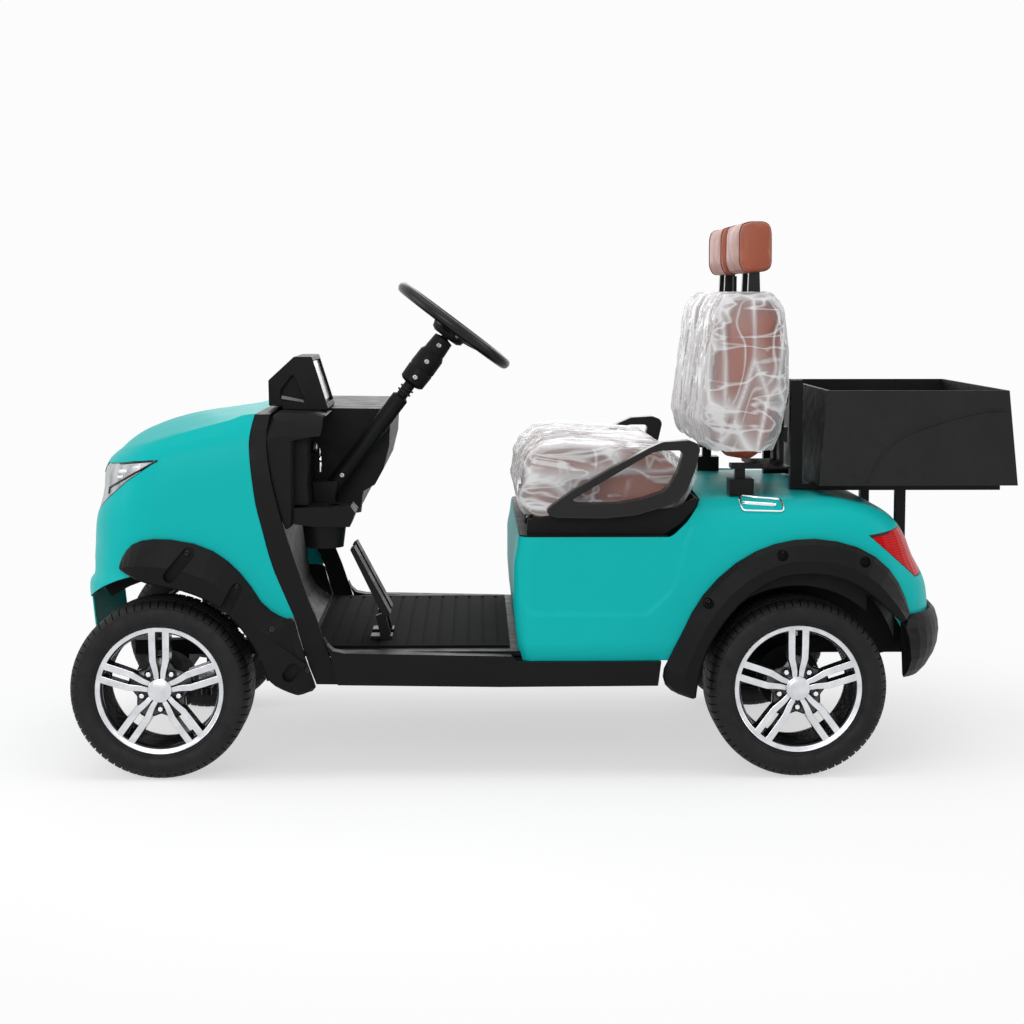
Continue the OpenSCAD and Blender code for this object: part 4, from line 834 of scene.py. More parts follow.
def film_over(name, node, keep, seed, scale, stretch, lift, height, open_at, haze_and_sheen, voxel=0.0048):
    """Clear film round a cushion, crumpled, and open where open_at() says."""
    obj = remeshed(part_of_node(name, node, keep, "film"), voxel, lift, 3)
    me = obj.data
    marks = []
    for v, n in [(v, v.normal.copy()) for v in me.vertices]:
        h, line, cell = crumple(v.co, seed, scale, stretch)
        # Whitening of each point: the crease value is part real whitening and part painted glint. The second value is
        # the caller's haze and painted sheen plus random cloudiness per facet.
        marks.append((0.8 * line, min(1.0, max(0.0, haze_and_sheen(v.co, n) + 0.30 * (cell - 0.5)))))
        v.co += n * (height * h)
    bm = bmesh.new()
    bm.from_mesh(me)
    crease_and_glint, haze_sheen_layer = bm.verts.layers.float.new("crease_and_glint"), bm.verts.layers.float.new("haze_and_sheen")
    for v, (line, cell) in zip(bm.verts, marks):
        v[crease_and_glint], v[haze_sheen_layer] = line, cell
    bmesh.ops.delete(bm, geom=[f for f in bm.faces if open_at(f.calc_center_median())], context="FACES")
    bm.to_mesh(me)
    bm.free()
    for p in me.polygons:
        p.use_smooth = True
    return obj


def make_backrests():
    low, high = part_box("backrests")
    inner = 0.012
    y0, y1 = inner, high[1]
    mid = (y0 + y1) / 2

    def seams(p):
        w = max(band(p.y, y0 + 0.05, 0.008), band(p.y, y1 - 0.05, 0.008))
        if p.x > (low[0] + high[0]) / 2:
            w = max(w, band(p.y, mid - 0.06, 0.007), band(p.y, mid + 0.06, 0.007),
                    band(p.z, low[2] + 0.15, 0.007))
        return w

    left = stuffed("backrest_left", "backrests", lambda p: p.y > 0, seams, voxel=0.0065)
    right = mirrored(left, "backrest_right")
    for obj in (left, right):
        ride(obj, "body", "seat_leather", "backrests")
    x_mid, z_mid = (low[0] + high[0]) / 2, (low[2] + high[2]) / 2

    # Whiter film towards the backrest's outline and on faces not turned across the cart: partly film bunched at the
    # edges, partly painted sheen of light glancing off it.
    def back_haze_and_sheen(p, n):
        out = max(abs(p.x - x_mid) / (high[0] - low[0]), abs(p.z - z_mid) / (high[2] - low[2])) * 2
        return 0.10 + 0.4 * max(0.0, out - 0.5) + 0.24 * (abs(n.y) < 0.7)

    sign = 1
    for obj in (left, right):
        pipes = []
        for y in (y0 + 0.05, y1 - 0.05):
            pipes += piping("pipe", obj, (0, sign * y, 0), (0, 1, 0))
        ride(join(obj.name + "_piping", pipes), "body", "seat_leather")
        sign = -1
    bottom = low[2] + 0.035
    for k, (tag, s) in enumerate((("left", 1), ("right", -1))):
        film = film_over("film_back_" + tag, "backrests", lambda p: p.y * s > 0, 3.1 + 4.7 * k, 9.0, (1.5, 1.5, 0.5),
                         0.005, 0.011, lambda c: c.z < bottom, back_haze_and_sheen)
        ride(film, "body")


def make_headrests():
    low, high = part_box("headrests")

    def seams(p):
        return max(band(p.y, high[1] - 0.028, 0.006), band(p.y, 0.034 + 0.028, 0.006))

    left = stuffed("headrest_left", "headrests", lambda p: p.y > 0, seams, shrink=0.007, cap=0.014, voxel=0.005)
    right = mirrored(left, "headrest_right")
    for obj, sign in ((left, 1), (right, -1)):
        ride(obj, "body", "seat_leather", "headrests")
        pipes = []
        for y in (high[1] - 0.028, 0.062):
            pipes += piping("pipe", obj, (0, sign * y, 0), (0, 1, 0), 0.0022, "thread", 0.0004)
        ride(join(obj.name + "_piping", pipes), "body", "seat_leather")


def make_seat():
    low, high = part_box("seat_cushion")

    def seams(p):
        w = max(band(abs(p.y), high[1] - 0.055, 0.008), band(p.y, 0, 0.009))
        if p.z > low[2] + 0.10:
            w = max(w, band(abs(p.y), high[1] * 0.34, 0.007), band(abs(p.y), high[1] * 0.62, 0.007),
                    band(p.x, low[0] + 0.12, 0.007))
        return w

    seat = stuffed("seat_cushion_soft", "seat_cushion", lambda p: True, seams, shrink=0.012, voxel=0.0075)
    ride(seat, "seat_lid", "seat_leather", "seat_cushion")
    pipes = []
    for y in (high[1] - 0.055, 0.0, 0.055 - high[1]):
        pipes += piping("pipe", seat, (0, y, 0), (0, 1, 0))
    ride(join("seat_cushion_piping", pipes), "seat_lid", "seat_leather")
    # The seat film's haze rises on faces turned up: painted sheen of the light from above.
    film = film_over("film_seat", "seat_cushion", lambda p: True, 11.3, 8.5, (0.5, 1.2, 1.7), 0.004, 0.012,
                     lambda c: c.z < low[2] + 0.03, lambda p, n: 0.16 + 0.26 * max(0.0, n.z) ** 2, voxel=0.0055)
    ride(film, "seat_lid")


make_backrests()
make_headrests()
make_seat()


# ---------------------------------------------------------------- body panels

def through(table, s):
    """Smooth curve through a table's rows at a row number that need not be whole."""
    last = len(table) - 1
    i = min(int(s), last - 1)
    t = s - i
    a, b, c, d = table[max(i - 1, 0)], table[i], table[i + 1], table[min(i + 2, last)]
    return [0.5 * (2 * q + (r - p) * t + (2 * p - 5 * q + 4 * r - w) * t * t + (3 * q - p - 3 * r + w) * t ** 3)
            for p, q, r, w in zip(a, b, c, d)]


def curve_at(table, x):
    """Smooth value at x from a table of (x, value), rising in x."""
    if x <= table[0][0]:
        return table[0][1]
    for i in range(len(table) - 1):
        (x0, y0), (x1, y1) = table[i], table[i + 1]
        if x <= x1:
            def slope(j):
                if j <= 0 or j >= len(table) - 1:
                    return 0.0 if j <= 0 else (table[-1][1] - table[-2][1]) / (table[-1][0] - table[-2][0])
                p, q, r = table[j - 1], table[j], table[j + 1]
                m0, m1 = (q[1] - p[1]) / (q[0] - p[0]), (r[1] - q[1]) / (r[0] - q[0])
                return 0.0 if m0 * m1 <= 0 else 2 * m0 * m1 / (m0 + m1)
            h, t = x1 - x0, (x - x0) / (x1 - x0)
            return ((2 * t ** 3 - 3 * t * t + 1) * y0 + (t ** 3 - 2 * t * t + t) * h * slope(i)
                    + (3 * t * t - 2 * t ** 3) * y1 + (t ** 3 - t * t) * h * slope(i + 1))
    return table[-1][1]


def mix(a, b, t):
    return a + (b - a) * t


HALF = HALF_W * 1000        # the panels' tables are in millimetres


def ring_point(row, u, turn_x, square, end_x):
    """A point on one half of a row: u runs from the nose, 0, through the end of the turn, 1, to the end, 2."""
    a = math.radians(90 * min(u, 1.0))
    x = turn_x + (row[2] - turn_x) * math.cos(a) ** (2 / square) if u < 1 else mix(turn_x, end_x, u - 1)
    w = HALF - row[4]
    return [x, w * math.sin(a) ** (2 / square), mix(row[1], row[0], math.sin(a) ** 2)]


def both_halves(half):
    return [(x, -y, z) for x, y, z in half[:0:-1]] + half


def panel_piece(name, origin, rows, thick, flip):
    """A sheet through rows of points, given a thickness on its inside."""
    verts = [origin + Vector(p) * MM for row in rows for p in row]
    faces = grid_faces(len(rows), len(rows[0]))
    if flip:
        faces = [f[::-1] for f in faces]
    obj = mesh_piece(name, verts, faces, "teal", fix=False)
    bm = bmesh.new()
    bm.from_mesh(obj.data)
    bmesh.ops.remove_doubles(bm, verts=bm.verts, dist=2e-5)
    bm.to_mesh(obj.data)
    bm.free()
    modifier(obj, "SOLIDIFY", thickness=thick, offset=-1.0, use_even_offset=False)
    return bake(obj)


def side_prism(outline, y0, y1, at):
    """A cutter through one side, from an outline in millimetres from an axle's centre."""
    return prism("cutter", [(at.x + x * MM, at.z + z * MM) for x, z in outline], y0, y1, "teal")


def arch_cutter(at, radius, sign):
    y0, y1 = sorted((sign * 0.25, sign * (HALF_W + 0.08)))
    return lathe("cutter", Vector((at.x, 0, at.z)), [(0.0, y0), (radius, y0), (radius, y1), (0.0, y1)], 160, "teal")


def creased(obj, degrees=32):
    for p in obj.data.polygons:
        p.use_smooth = True
    modifier(obj, "EDGE_SPLIT", split_angle=math.radians(degrees), use_edge_sharp=False)
    return bake(obj)


COWL_ROWS = [[187, 62, 218, -348, 3], [237, 160, 228, -327, 0], [277, 243, 233, -310, 0], [307, 270, 219, -298, 0],
             [357, 310, 217, -282, 0], [417, 352, 214, -267, 0], [477, 400, 212, -252, 2], [537, 440, 204, -243, 4],
             [592, 490, 190, -237, 8], [637, 545, 186, -235, 14], [672, 582, 169, -239, 27], [709, 609, 137, -247, 54]]
COWL_SPINE = [(-262, 712), (-204, 706), (-136, 699), (-68, 690), (0, 676), (68, 655), (124, 622), (137, 609)]
HOOD_FALL = [(-230, 1), (-183, .85), (-105, .65), (-60, .52), (-2, .34), (62, .16), (109, .05), (137, 0)]
COWL_TURN, COWL_SQUARE = -60, 3.2
LAMP_OUTLINE = [(230, 470), (152, 575), (60, 590), (-4, 594), (80, 538), (150, 480), (190, 440), (230, 440)]
FRONT_ARCH_R, REAR_ARCH_R = 0.302, 0.312


def cowl_half(row, n_turn, n_side):
    out = []
    k = min(max((row[0] - 357) / (709 - 357), 0), 1)
    for i in range(n_turn + n_side + 1):
        u = i / n_turn if i <= n_turn else 1 + (i - n_turn) / n_side
        x, y, z = ring_point(row, u, COWL_TURN, COWL_SQUARE, row[3])
        fall = max(0.0, min(1.0, curve_at(HOOD_FALL, x)))
        out.append((x, y, mix(z, mix(row[1], row[0], fall), k)))
    return out


def cowl_rows(n_rows=44, n_top=16, n_turn=40, n_side=14):
    rows = [cowl_half(through(COWL_ROWS, k * (len(COWL_ROWS) - 1) / n_rows), n_turn, n_side) for k in range(n_rows + 1)]
    edge, cols = rows[-1], n_turn + n_side
    for k in range(1, n_top + 1):
        q, row = k / n_top, []
        for c in range(cols + 1):
            u = c / n_turn if c <= n_turn else 1 + (c - n_turn) / n_side
            along = (u * 12 if u <= 1 else 12 + (u - 1) * 4) / 16
            x = mix(137, -262, along ** 1.5)
            e = edge[c]
            row.append((mix(e[0], x, q), e[1] * (1 - q), mix(e[2], curve_at(COWL_SPINE, x), 1 - (1 - q) ** 2)))
        rows.append(row)
    return [both_halves(r) for r in rows]


def centred(at):
    return Vector((at.x, 0, at.z))


def ease(t):
    t = min(max(t, 0.0), 1.0)
    return t * t * (3 - 2 * t)


def inside_depth(p, outline):
    """How far a point lies inside a closed outline; negative outside."""
    best, inside = 1e9, False
    n = len(outline)
    for i in range(n):
        (x0, y0), (x1, y1) = outline[i], outline[(i + 1) % n]
        dx, dy = x1 - x0, y1 - y0
        t = max(0, min(1, ((p[0] - x0) * dx + (p[1] - y0) * dy) / (dx * dx + dy * dy)))
        best = min(best, math.hypot(p[0] - x0 - t * dx, p[1] - y0 - t * dy))
        if (y0 > p[1]) != (y1 > p[1]) and p[0] < x0 + (p[1] - y0) * dx / dy:
            inside = not inside
    return best if inside else -best


def build_cowl():
    at = centred(FRONT)
    obj = panel_piece("cowl_panel", at, cowl_rows(), 0.0035, False)
    cutters = []
    for s in (1, -1):
        cutters.append(arch_cutter(FRONT, FRONT_ARCH_R, s))
        y = sorted((s * 0.25, s * (HALF_W + 0.06)))
        cutters.append(side_prism(LAMP_OUTLINE, y[0], y[1], FRONT))
    cutters.append(prism("cutter", [(at.x + .120, at.z + .306), (at.x + .240, at.z + .306), (at.x + .240, at.z + .388),
                                    (at.x + .120, at.z + .388)], -0.27, 0.27, "teal"))
    cut(obj, *cutters)
    creased(obj)
    return ride(obj, "body", "teal_panel", "cowl")


TAIL_ROWS = [[120, 150, -388, 0, 0], [190, 205, -389, 0, 0], [260, 262, -378, 0, 0], [330, 320, -346, 0, 0],
             [377, 370, -326, 0, 2], [417, 405, -304, 0, 8], [448, 438, -268, 0, 22], [470, 460, -215, 0, 46],
             [484, 472, -150, 0, 82]]
TAIL_SPINE = [(-150, 472), (-112, 478), (-40, 488), (60, 494), (140, 496), (250, 496)]
TAIL_TURN, TAIL_SQUARE, TAIL_FRONT = -60, 4.0, 250
TAIL_LAMP = [(-180, 397), (-262, 408), (-400, 408), (-400, 279), (-318, 279)]
SIDE_PROFILE = [(70, 5), (120, 0), (330, 0), (377, 2), (417, 8), (448, 22), (470, 46), (484, 82)]
BOX_TOP = [(-400, 484), (250, 484), (262, 468), (296, 426), (340, 394), (900, 394)]
RISER = [(70, -14), (106, -8), (160, -2), (230, 2), (310, 2), (360, -6), (394, -10)]
SEAT_BOX = round((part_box("rear_body")[1][0] - REAR.x) * 1000) - 2
CORNER_R = 46
SIDE_RECESS = rounded([(729, 420), (727, 336), (719, 232), (700, 193), (390, 190), (321, 257), (288, 387), (270, 425)], 26, 6)


def tail_rows(n_rows=40, n_top=14, n_turn=40, n_side=30):
    def half(row):
        return [tuple(ring_point(row, i / n_turn if i <= n_turn else 1 + (i - n_turn) / n_side, TAIL_TURN, TAIL_SQUARE,
                                 TAIL_FRONT)) for i in range(n_turn + n_side + 1)]
    rows = [half(through(TAIL_ROWS, k * (len(TAIL_ROWS) - 1) / n_rows)) for k in range(n_rows + 1)]
    edge, cols = rows[-1], n_turn + n_side
    for k in range(1, n_top + 1):
        q, row = k / n_top, []
        for c in range(cols + 1):
            u = c / n_turn if c <= n_turn else 1 + (c - n_turn) / n_side
            along = (u * 12 if u <= 1 else 12 + (u - 1) * 4) / 16
            x = mix(-150, TAIL_FRONT, along ** 1.5)
            e = edge[c]
            row.append((mix(e[0], x, q), e[1] * (1 - q), mix(e[2], curve_at(TAIL_SPINE, x), 1 - (1 - q) ** 2)))
        rows.append(row)
    return [both_halves(r) for r in rows]


def wall_point(x, y, q):
    """The seat box's wall, with the recess in its side and the step along the recess's lower edge."""
    low = 73 if abs(y) > HALF - 20 else 94.8
    z = mix(low, curve_at(BOX_TOP, x), q)
    pinch = curve_at(SIDE_PROFILE, z)
    bulge = curve_at(RISER, z) * max(0.0, (x - SEAT_BOX + CORNER_R) / CORNER_R)
    if abs(y) > HALF - 30:
        pinch += 3.2 * ease(inside_depth((x, z), SIDE_RECESS) / 7)
    side = 1 if y > 0 else -1
    return (x + bulge, side * max(abs(y) - pinch, 0), z)


def wall_rows(n_rows=52):
    plan = [(mix(250, SEAT_BOX - CORNER_R, i / 90), HALF) for i in range(90)]
    for i in range(13):
        a = math.radians(90 * i / 12)
        plan.append((SEAT_BOX - CORNER_R + CORNER_R * math.sin(a), HALF - CORNER_R + CORNER_R * math.cos(a)))
    plan += [(SEAT_BOX, (HALF - CORNER_R) * (1 - i / 8)) for i in range(1, 8)]
    line = [(x, -y) for x, y in plan] + [(SEAT_BOX, 0.0)] + plan[::-1]
    return [[wall_point(x, y, k / n_rows) for x, y in line] for k in range(n_rows + 1)]


def build_rear_body():
    at = centred(REAR)
    tail = panel_piece("tail_panel", at, tail_rows(), 0.0035, True)
    cutters = []
    for s in (1, -1):
        cutters.append(arch_cutter(REAR, REAR_ARCH_R, s))
        y = sorted((s * 0.33, s * (HALF_W + 0.06)))
        cutters.append(side_prism(TAIL_LAMP, y[0], y[1], REAR))
    cut(tail, *cutters)
    creased(tail)
    ride(tail, "body", "teal_panel", "rear_body")
    wall = panel_piece("seat_box_panel", at, wall_rows(), 0.0035, False)
    cut(wall, *[arch_cutter(REAR, REAR_ARCH_R, s) for s in (1, -1)])
    creased(wall, 40)
    ride(wall, "body", "teal_panel", "rear_body")


build_cowl()
build_rear_body()


# ---------------------------------------------------------------- armrests, pod and controls

def at_axle(axle, pts):
    """Points in millimetres from an axle's centre, as metres in the cart's frame."""
    return [(axle.x + x * MM, axle.z + z * MM) for x, z in pts]


ARM_OUTER = [(654, 467), (590, 514), (494, 570), (390, 626), (356, 641), (290, 645), (266, 636), (260, 622), (272, 569),
             (294, 513), (315, 489), (337, 478), (424, 452), (507, 444), (629, 446), (648, 453)]
ARM_INNER = [(590, 491), (494, 548), (381, 614), (355, 619), (312, 619), (305, 612), (318, 565), (338, 530), (356, 513),
             (411, 495), (472, 484), (574, 483)]


def make_armrest(name, sign):
    y = sorted((sign * (HALF_W - 0.0315), sign * (HALF_W + 0.016)))
    outer = rounded(at_axle(REAR, ARM_OUTER), 0.016, 4)
    inner = rounded(at_axle(REAR, ARM_INNER), 0.010, 4)
    obj = prism(name, outer, y[0], y[1], "satin")
    cut(obj, prism("cutter", inner, y[0] - 0.02, y[1] + 0.02, "satin"))
    bevel(obj, 0.0045, 3, 40)
    face = y[1] if sign > 0 else y[0]
    ridge = [Vector((x, face - sign * 0.0012, z)) for x, z in outer]
    mid = sum(ridge, Vector()) / len(ridge)
    ridge = [p.lerp(mid, 0.022) for p in ridge]
    parts = [obj, tube("ridge", ridge, 0.0017, "satin", 8, closed=True)]
    return ride(join(name, parts), "body", "armrest_plastic", "armrests")


make_armrest("armrest_left", 1)
make_armrest("armrest_right", -1)


def build_pod():
    (x0, y0, z0), (x1, y1, z1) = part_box("display_pod")
    outline = rounded(at_axle(FRONT, [(-305, 713.7), (-305, 722.6), (-269, 722.6), (-268, 790), (-336, 852.5), (-383, 852.5),
                                      (-427, 711.6), (-402, 711.6)]), 0.005, 3)
    pod = prism("display_pod_shell", outline, y0, y1, "plastic")
    recess = rounded(at_axle(FRONT, [(-300, 764), (-334, 808), (-366, 730), (-301, 738)]), 0.006, 3)
    back = at_axle(FRONT, [(-445, 733), (-411, 726), (-376, 840), (-405, 842)])
    cutters = [prism("cutter", back, y0 + 0.014, y1 - 0.014, "plastic")]
    for y, s in ((y1, 1), (y0, -1)):
        a, b = sorted((y - s * 0.016, y + s * 0.02))
        cutters.append(prism("cutter", recess, a, b, "plastic"))
    cut(pod, *cutters)
    bevel(pod, 0.0022, 2, 35)
    parts = [pod]
    for y, s in ((y1, 1), (y0, -1)):
        a, b = sorted((y - s * 0.0155, y - s * 0.002))
        ledge = prism("ledge", at_axle(FRONT, [(-302, 741), (-362, 732), (-360, 738), (-303, 750)]), a, b, "grey")
        parts.append(ledge)
    ride(join("display_pod_shell", parts), "body", "black_plastic", "display_pod")
    glass = prism("pod_screen", at_axle(FRONT, [(-413, 734), (-408.4, 733), (-375.6, 836), (-381, 838)]), y0 + 0.0145,
                  y1 - 0.0145, "screen")
    bevel(glass, 0.001, 2, 30)
    ride(glass, "body", "screen", "display_screen")


def build_dash_sides():
    """The broad moulded cheeks between the band and the knee panel, creased across."""
    face = [(-277, 688), (-277, 637), (-281.5, 592), (-290.5, 537), (-304.5, 477), (-321.5, 420), (-333, 414), (-345, 425),
            (-347, 470), (-347, 600), (-349, 640), (-357, 655), (-398, 690), (-424, 703), (-402, 709.5), (-303, 712)]
    for s, tag in ((1, "left"), (-1, "right")):
        rings = []
        for y, pull, top in ((0.4865, 0, 1.0), (0.500, 0, 1.0), (0.520, 0.6, 0.72), (0.532, 2.2, 0.45), (0.5415, 6.0, 0.22)):
            ring = []
            for x, z in face:
                z = z if z < 640 else mix(640, z, top)
                x += pull if x < -330 else -pull * 0.35
                ring.append(FRONT.x * Vector((1, 0, 0)) + Vector((x * MM, s * y, FRONT.z + z * MM)))
            rings.append(ring)
        n = len(face)
        verts = [v for r in rings for v in r]
        faces = grid_faces(len(rings), n, wrap_cols=True)
        faces += [tuple(range(n - 1, -1, -1)), tuple(range((len(rings) - 1) * n, len(rings) * n))]
        obj = mesh_piece("dash_cheek_" + tag, verts, faces, "plastic")
        bevel(obj, 0.004, 3, 30)
        tray = prism("cutter", at_axle(FRONT, [(-515, 367), (-295, 367), (-295, 472), (-515, 472)]), *sorted((s * 0.37, s * 0.5204)),
                     "plastic")
        cut(obj, tray)
        ride(obj, "body", "black_plastic", "dash_pillars")


def build_keys():
    """The key switch on the knee panel with two keys on a ring."""
    at = Vector((FRONT.x - 0.382, 0.335, FRONT.z + 0.612))
    barrel = lathe("barrel", at, [(0.0, 0.010), (0.0145, 0.010), (0.0165, 0.008), (0.0165, -0.004), (0.0, -0.004)], 36, "satin",
                   axis="X")
    barrel.data.transform(Matrix.Translation(at) @ Matrix.Rotation(math.pi, 4, "Z") @ Matrix.Translation(-at))
    parts = [barrel, lathe("plug", at, [(0.0, -0.0135), (0.009, -0.0135), (0.010, -0.0115), (0.010, -0.009)], 28, "steel", axis="X")]
    ring = [at + Vector((-0.020, 0.010 * math.cos(a), -0.012 + 0.010 * math.sin(a))) for a in [k * math.pi / 10 for k in range(20)]]
    parts.append(tube("ring", ring, 0.0011, "chrome", 8, closed=True))
    for k, lean in enumerate((0.12, -0.16)):
        bow = at + Vector((-0.021 - 0.002 * k, 0.004 * k, -0.022))
        blade = [(-0.008, 0.0), (0.008, 0.0), (0.009, -0.012), (0.0045, -0.018), (0.0035, -0.044), (0.0, -0.048), (-0.0035, -0.044),
                 (-0.003, -0.036), (-0.0042, -0.034), (-0.003, -0.028), (-0.0045, -0.018), (-0.009, -0.012)]
        m = Matrix.Rotation(lean, 4, "X")
        verts = [bow + m @ Vector((dx, y, z)) for dx in (-0.001, 0.001) for y, z in blade]
        n = len(blade)
        faces = [tuple(range(n)), tuple(range(2 * n - 1, n - 1, -1))] + [(i, (i + 1) % n, n + (i + 1) % n, n + i) for i in range(n)]
        parts.append(mesh_piece("key", verts, faces, "chrome", smooth=False))
    ride(join("key_switch", parts), "body", "chrome")


build_pod()
build_dash_sides()
build_keys()


# ---------------------------------------------------------------- steering wheel and column

HUB = joint_at("steering")
COLUMN_UP = Vector(JOINTS["steering"]["axis"]).normalized()


def wheel_frame():
    """Axes of the steering wheel: across the cart, towards its lower edge and up the column."""
    across = Vector((0, 1, 0))
    return across, COLUMN_UP.cross(across).normalized(), COLUMN_UP


def build_steering_wheel():
    u, v, w = wheel_frame()
    low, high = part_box("steering_wheel")
    outer = (high[1] - low[1]) / 2
    grip = 0.0152
    r = outer - grip
    on = lambda a, rad, h: HUB + u * (rad * math.cos(a)) + v * (rad * math.sin(a)) + w * h
    rings = []
    n, m = 144, 18
    for i in range(n):
        a = 2 * math.pi * i / n
        for j in range(m):
            b = 2 * math.pi * j / m
            rings.append(on(a, r + grip * math.cos(b), grip * math.sin(b)))
    parts = [mesh_piece("rim", rings, grid_faces(n, m, wrap_cols=True, wrap_rows=True), "satin")]
    for a in (math.radians(90), math.radians(200), math.radians(340)):
        path, width = [], []
        for k in range(9):
            t = k / 8
            path.append((mix(0.030, r - 0.004, t), -0.020 + 0.018 * ease(t)))
            width.append(mix(0.021, 0.0125, ease(t * 1.4)))
        verts = []
        side = -u * math.sin(a) + v * math.cos(a)
        for (rad, h), half in zip(path, width):
            c = on(a, rad, h)
            for q, t in ((-1, -0.55), (-0.82, 1), (0.82, 1), (1, -0.55), (0.6, -1), (-0.6, -1)):
                verts.append(c + side * (half * q) + w * (0.0048 * t))
        faces = grid_faces(len(path), 6, wrap_cols=True) + [(5, 4, 3, 2, 1, 0), tuple(range(48, 54))]
        spoke = mesh_piece("spoke", verts, faces, "satin")
        bevel(spoke, 0.0012, 2, 30)
        parts.append(spoke)
    prof = [(0.0, 0.0020), (0.028, 0.0015), (0.042, -0.001), (0.048, -0.006), (0.050, -0.018), (0.046, -0.033), (0.036, -0.039),
            (0.014, -0.040), (0.0, -0.040)]
    q = Vector((0, 0, 1)).rotation_difference(w)
    verts = [HUB + q @ Vector((a * math.cos(2 * math.pi * k / 48), a * math.sin(2 * math.pi * k / 48), b)) for a, b in prof
             for k in range(48)]
    parts.append(mesh_piece("cover", verts, grid_faces(len(prof), 48, wrap_cols=True), "plastic"))
    for a in (0.5, 2.7, 4.4):
        parts.append(hex_bolt("clip", on(a, 0.0495, -0.018), (on(a, 1, 0) - HUB).normalized(), 0.0055, 0.003, "grey"))
    ride(join("steering_wheel_dressed", parts), "steering_wheel", "armrest_plastic", "steering_wheel")


def build_column():
    """Tube, ribbed shroud and adjuster, in the places of the CAD column's steps."""
    steps = [(-0.580, 0.0225), (-0.575, 0.0230), (-0.240, 0.0230), (-0.234, 0.0150), (-0.197, 0.0150), (-0.194, 0.0270),
             (-0.188, 0.0345), (-0.150, 0.0360), (-0.146, 0.0345), (-0.142, 0.0360), (-0.100, 0.0350), (-0.088, 0.0290),
             (-0.085, 0.0295), (-0.046, 0.0270), (-0.042, 0.0110), (-0.0065, 0.0108)]
    q = Vector((0, 0, 1)).rotation_difference(COLUMN_UP)
    n = 48
    prof = [(0.0, steps[0][0])] + [(r, h) for h, r in steps] + [(0.0, steps[-1][0])]
    verts = [HUB + q @ Vector((r * math.cos(2 * math.pi * k / n), r * math.sin(2 * math.pi * k / n), h)) for r, h in prof
             for k in range(n)]
    parts = [mesh_piece("tube", verts, grid_faces(len(prof), n, wrap_cols=True), "plastic")]
    modifier(parts[0], "EDGE_SPLIT", split_angle=math.radians(30), use_edge_sharp=False)
    side = Vector((0, 1, 0))
    for h, r in ((-0.555, 0.022), (-0.500, 0.022), (-0.172, 0.0345), (-0.120, 0.0345), (-0.066, 0.028)):
        parts.append(hex_bolt("bolt", HUB + COLUMN_UP * h + side * r, side, 0.0072, 0.0055, "steel"))
    for h in (-0.21, -0.222):
        ring = [HUB + COLUMN_UP * h + q @ Vector((0.0175 * math.cos(a), 0.0175 * math.sin(a), 0))
                for a in [k * math.pi / 16 for k in range(32)]]
        parts.append(tube("ring", ring, 0.003, "satin", 8, closed=True))
    for y in (-0.031, 0.020):
        cheek = prism("cheek", at_axle(FRONT, [(-382.5, 456), (-378.6, 519), (-448, 519), (-436, 456)]), HUB.y + y, HUB.y + y + 0.011,
                      "frame")
        bevel(cheek, 0.002, 2, 30)
        parts.append(cheek)
    ride(join("steering_column_dressed", parts), "body", "black_plastic", "steering_column")


build_steering_wheel()
build_column()


# ---------------------------------------------------------------- lamps, trim and small parts

def side_of(*nodes):
    """A function that gives the point and normal where a line across the cart meets those nodes."""
    trees = []
    for n in nodes:
        obj = frame["nodes"][n]
        bm = bmesh.new()
        bm.from_mesh(obj.data)
        trees.append(BVHTree.FromBMesh(bm))
        bm.free()

    def at(x, z, s=1):
        best = None
        for tree in trees:
            hit, normal, _, _ = tree.ray_cast(Vector((x, s * 2, z)), Vector((0, -s, 0)))
            if hit is not None and (best is None or abs(hit.y) > abs(best[0].y)):
                best = (hit, normal if normal.y * s > 0 else -normal)
        return best
    return at


def line_on(surface_at, points, s, lift, steps=5):
    """Points along a line in side view, laid on a surface and lifted off it."""
    out = []
    for (x0, z0), (x1, z1) in zip(points, points[1:]):
        for k in range(steps):
            t = k / steps
            got = surface_at(mix(x0, x1, t), mix(z0, z1, t), s)
            if got:
                out.append(got[0] + got[1] * lift)
    return out


def build_lamp_trim():
    head = at_axle(FRONT, [(-1, 592), (60, 559), (136, 516), (140, 496)])
    head_top = at_axle(FRONT, [(-1, 592.5), (60, 586), (132, 577)])
    tail = at_axle(REAR, [(-187, 393), (-246, 341), (-305, 290)])
    tail_top = at_axle(REAR, [(-187, 393.5), (-250, 400)])
    lamps_front, lamps_rear = side_of("headlamps", "cowl"), side_of("tail_lamps", "rear_body")
    for s, tag in ((1, "left"), (-1, "right")):
        for name, surf, painted_highlight_streaks in (("headlamp_trim_", lamps_front, (head, head_top)), ("tail_lamp_trim_", lamps_rear, (tail, tail_top))):
            parts = []
            for pts in painted_highlight_streaks:
                path = line_on(surf, pts, s, 0.0006)
                if len(path) > 3:
                    parts.append(tube("trim", path, 0.0028, "satin", 8))
            if parts:
                ride(join(name + tag, parts), "body", "black_plastic")
        bars = []
        for x, z, w, h in ((96, 562, 30, 9), (104, 547, 22, 7), (56, 574, 26, 6)):
            path = line_on(lamps_front, at_axle(FRONT, [(x - w / 2, z + 2), (x + w / 2, z - 2)]), s, 0.001)
            if len(path) > 3:
                bars.append(tube("bar", path, h * MM / 2, "lamp_white", 8, flat=0.4))
        if bars:
            ride(join("headlamp_bars_" + tag, bars), "body", "lamp_lens")


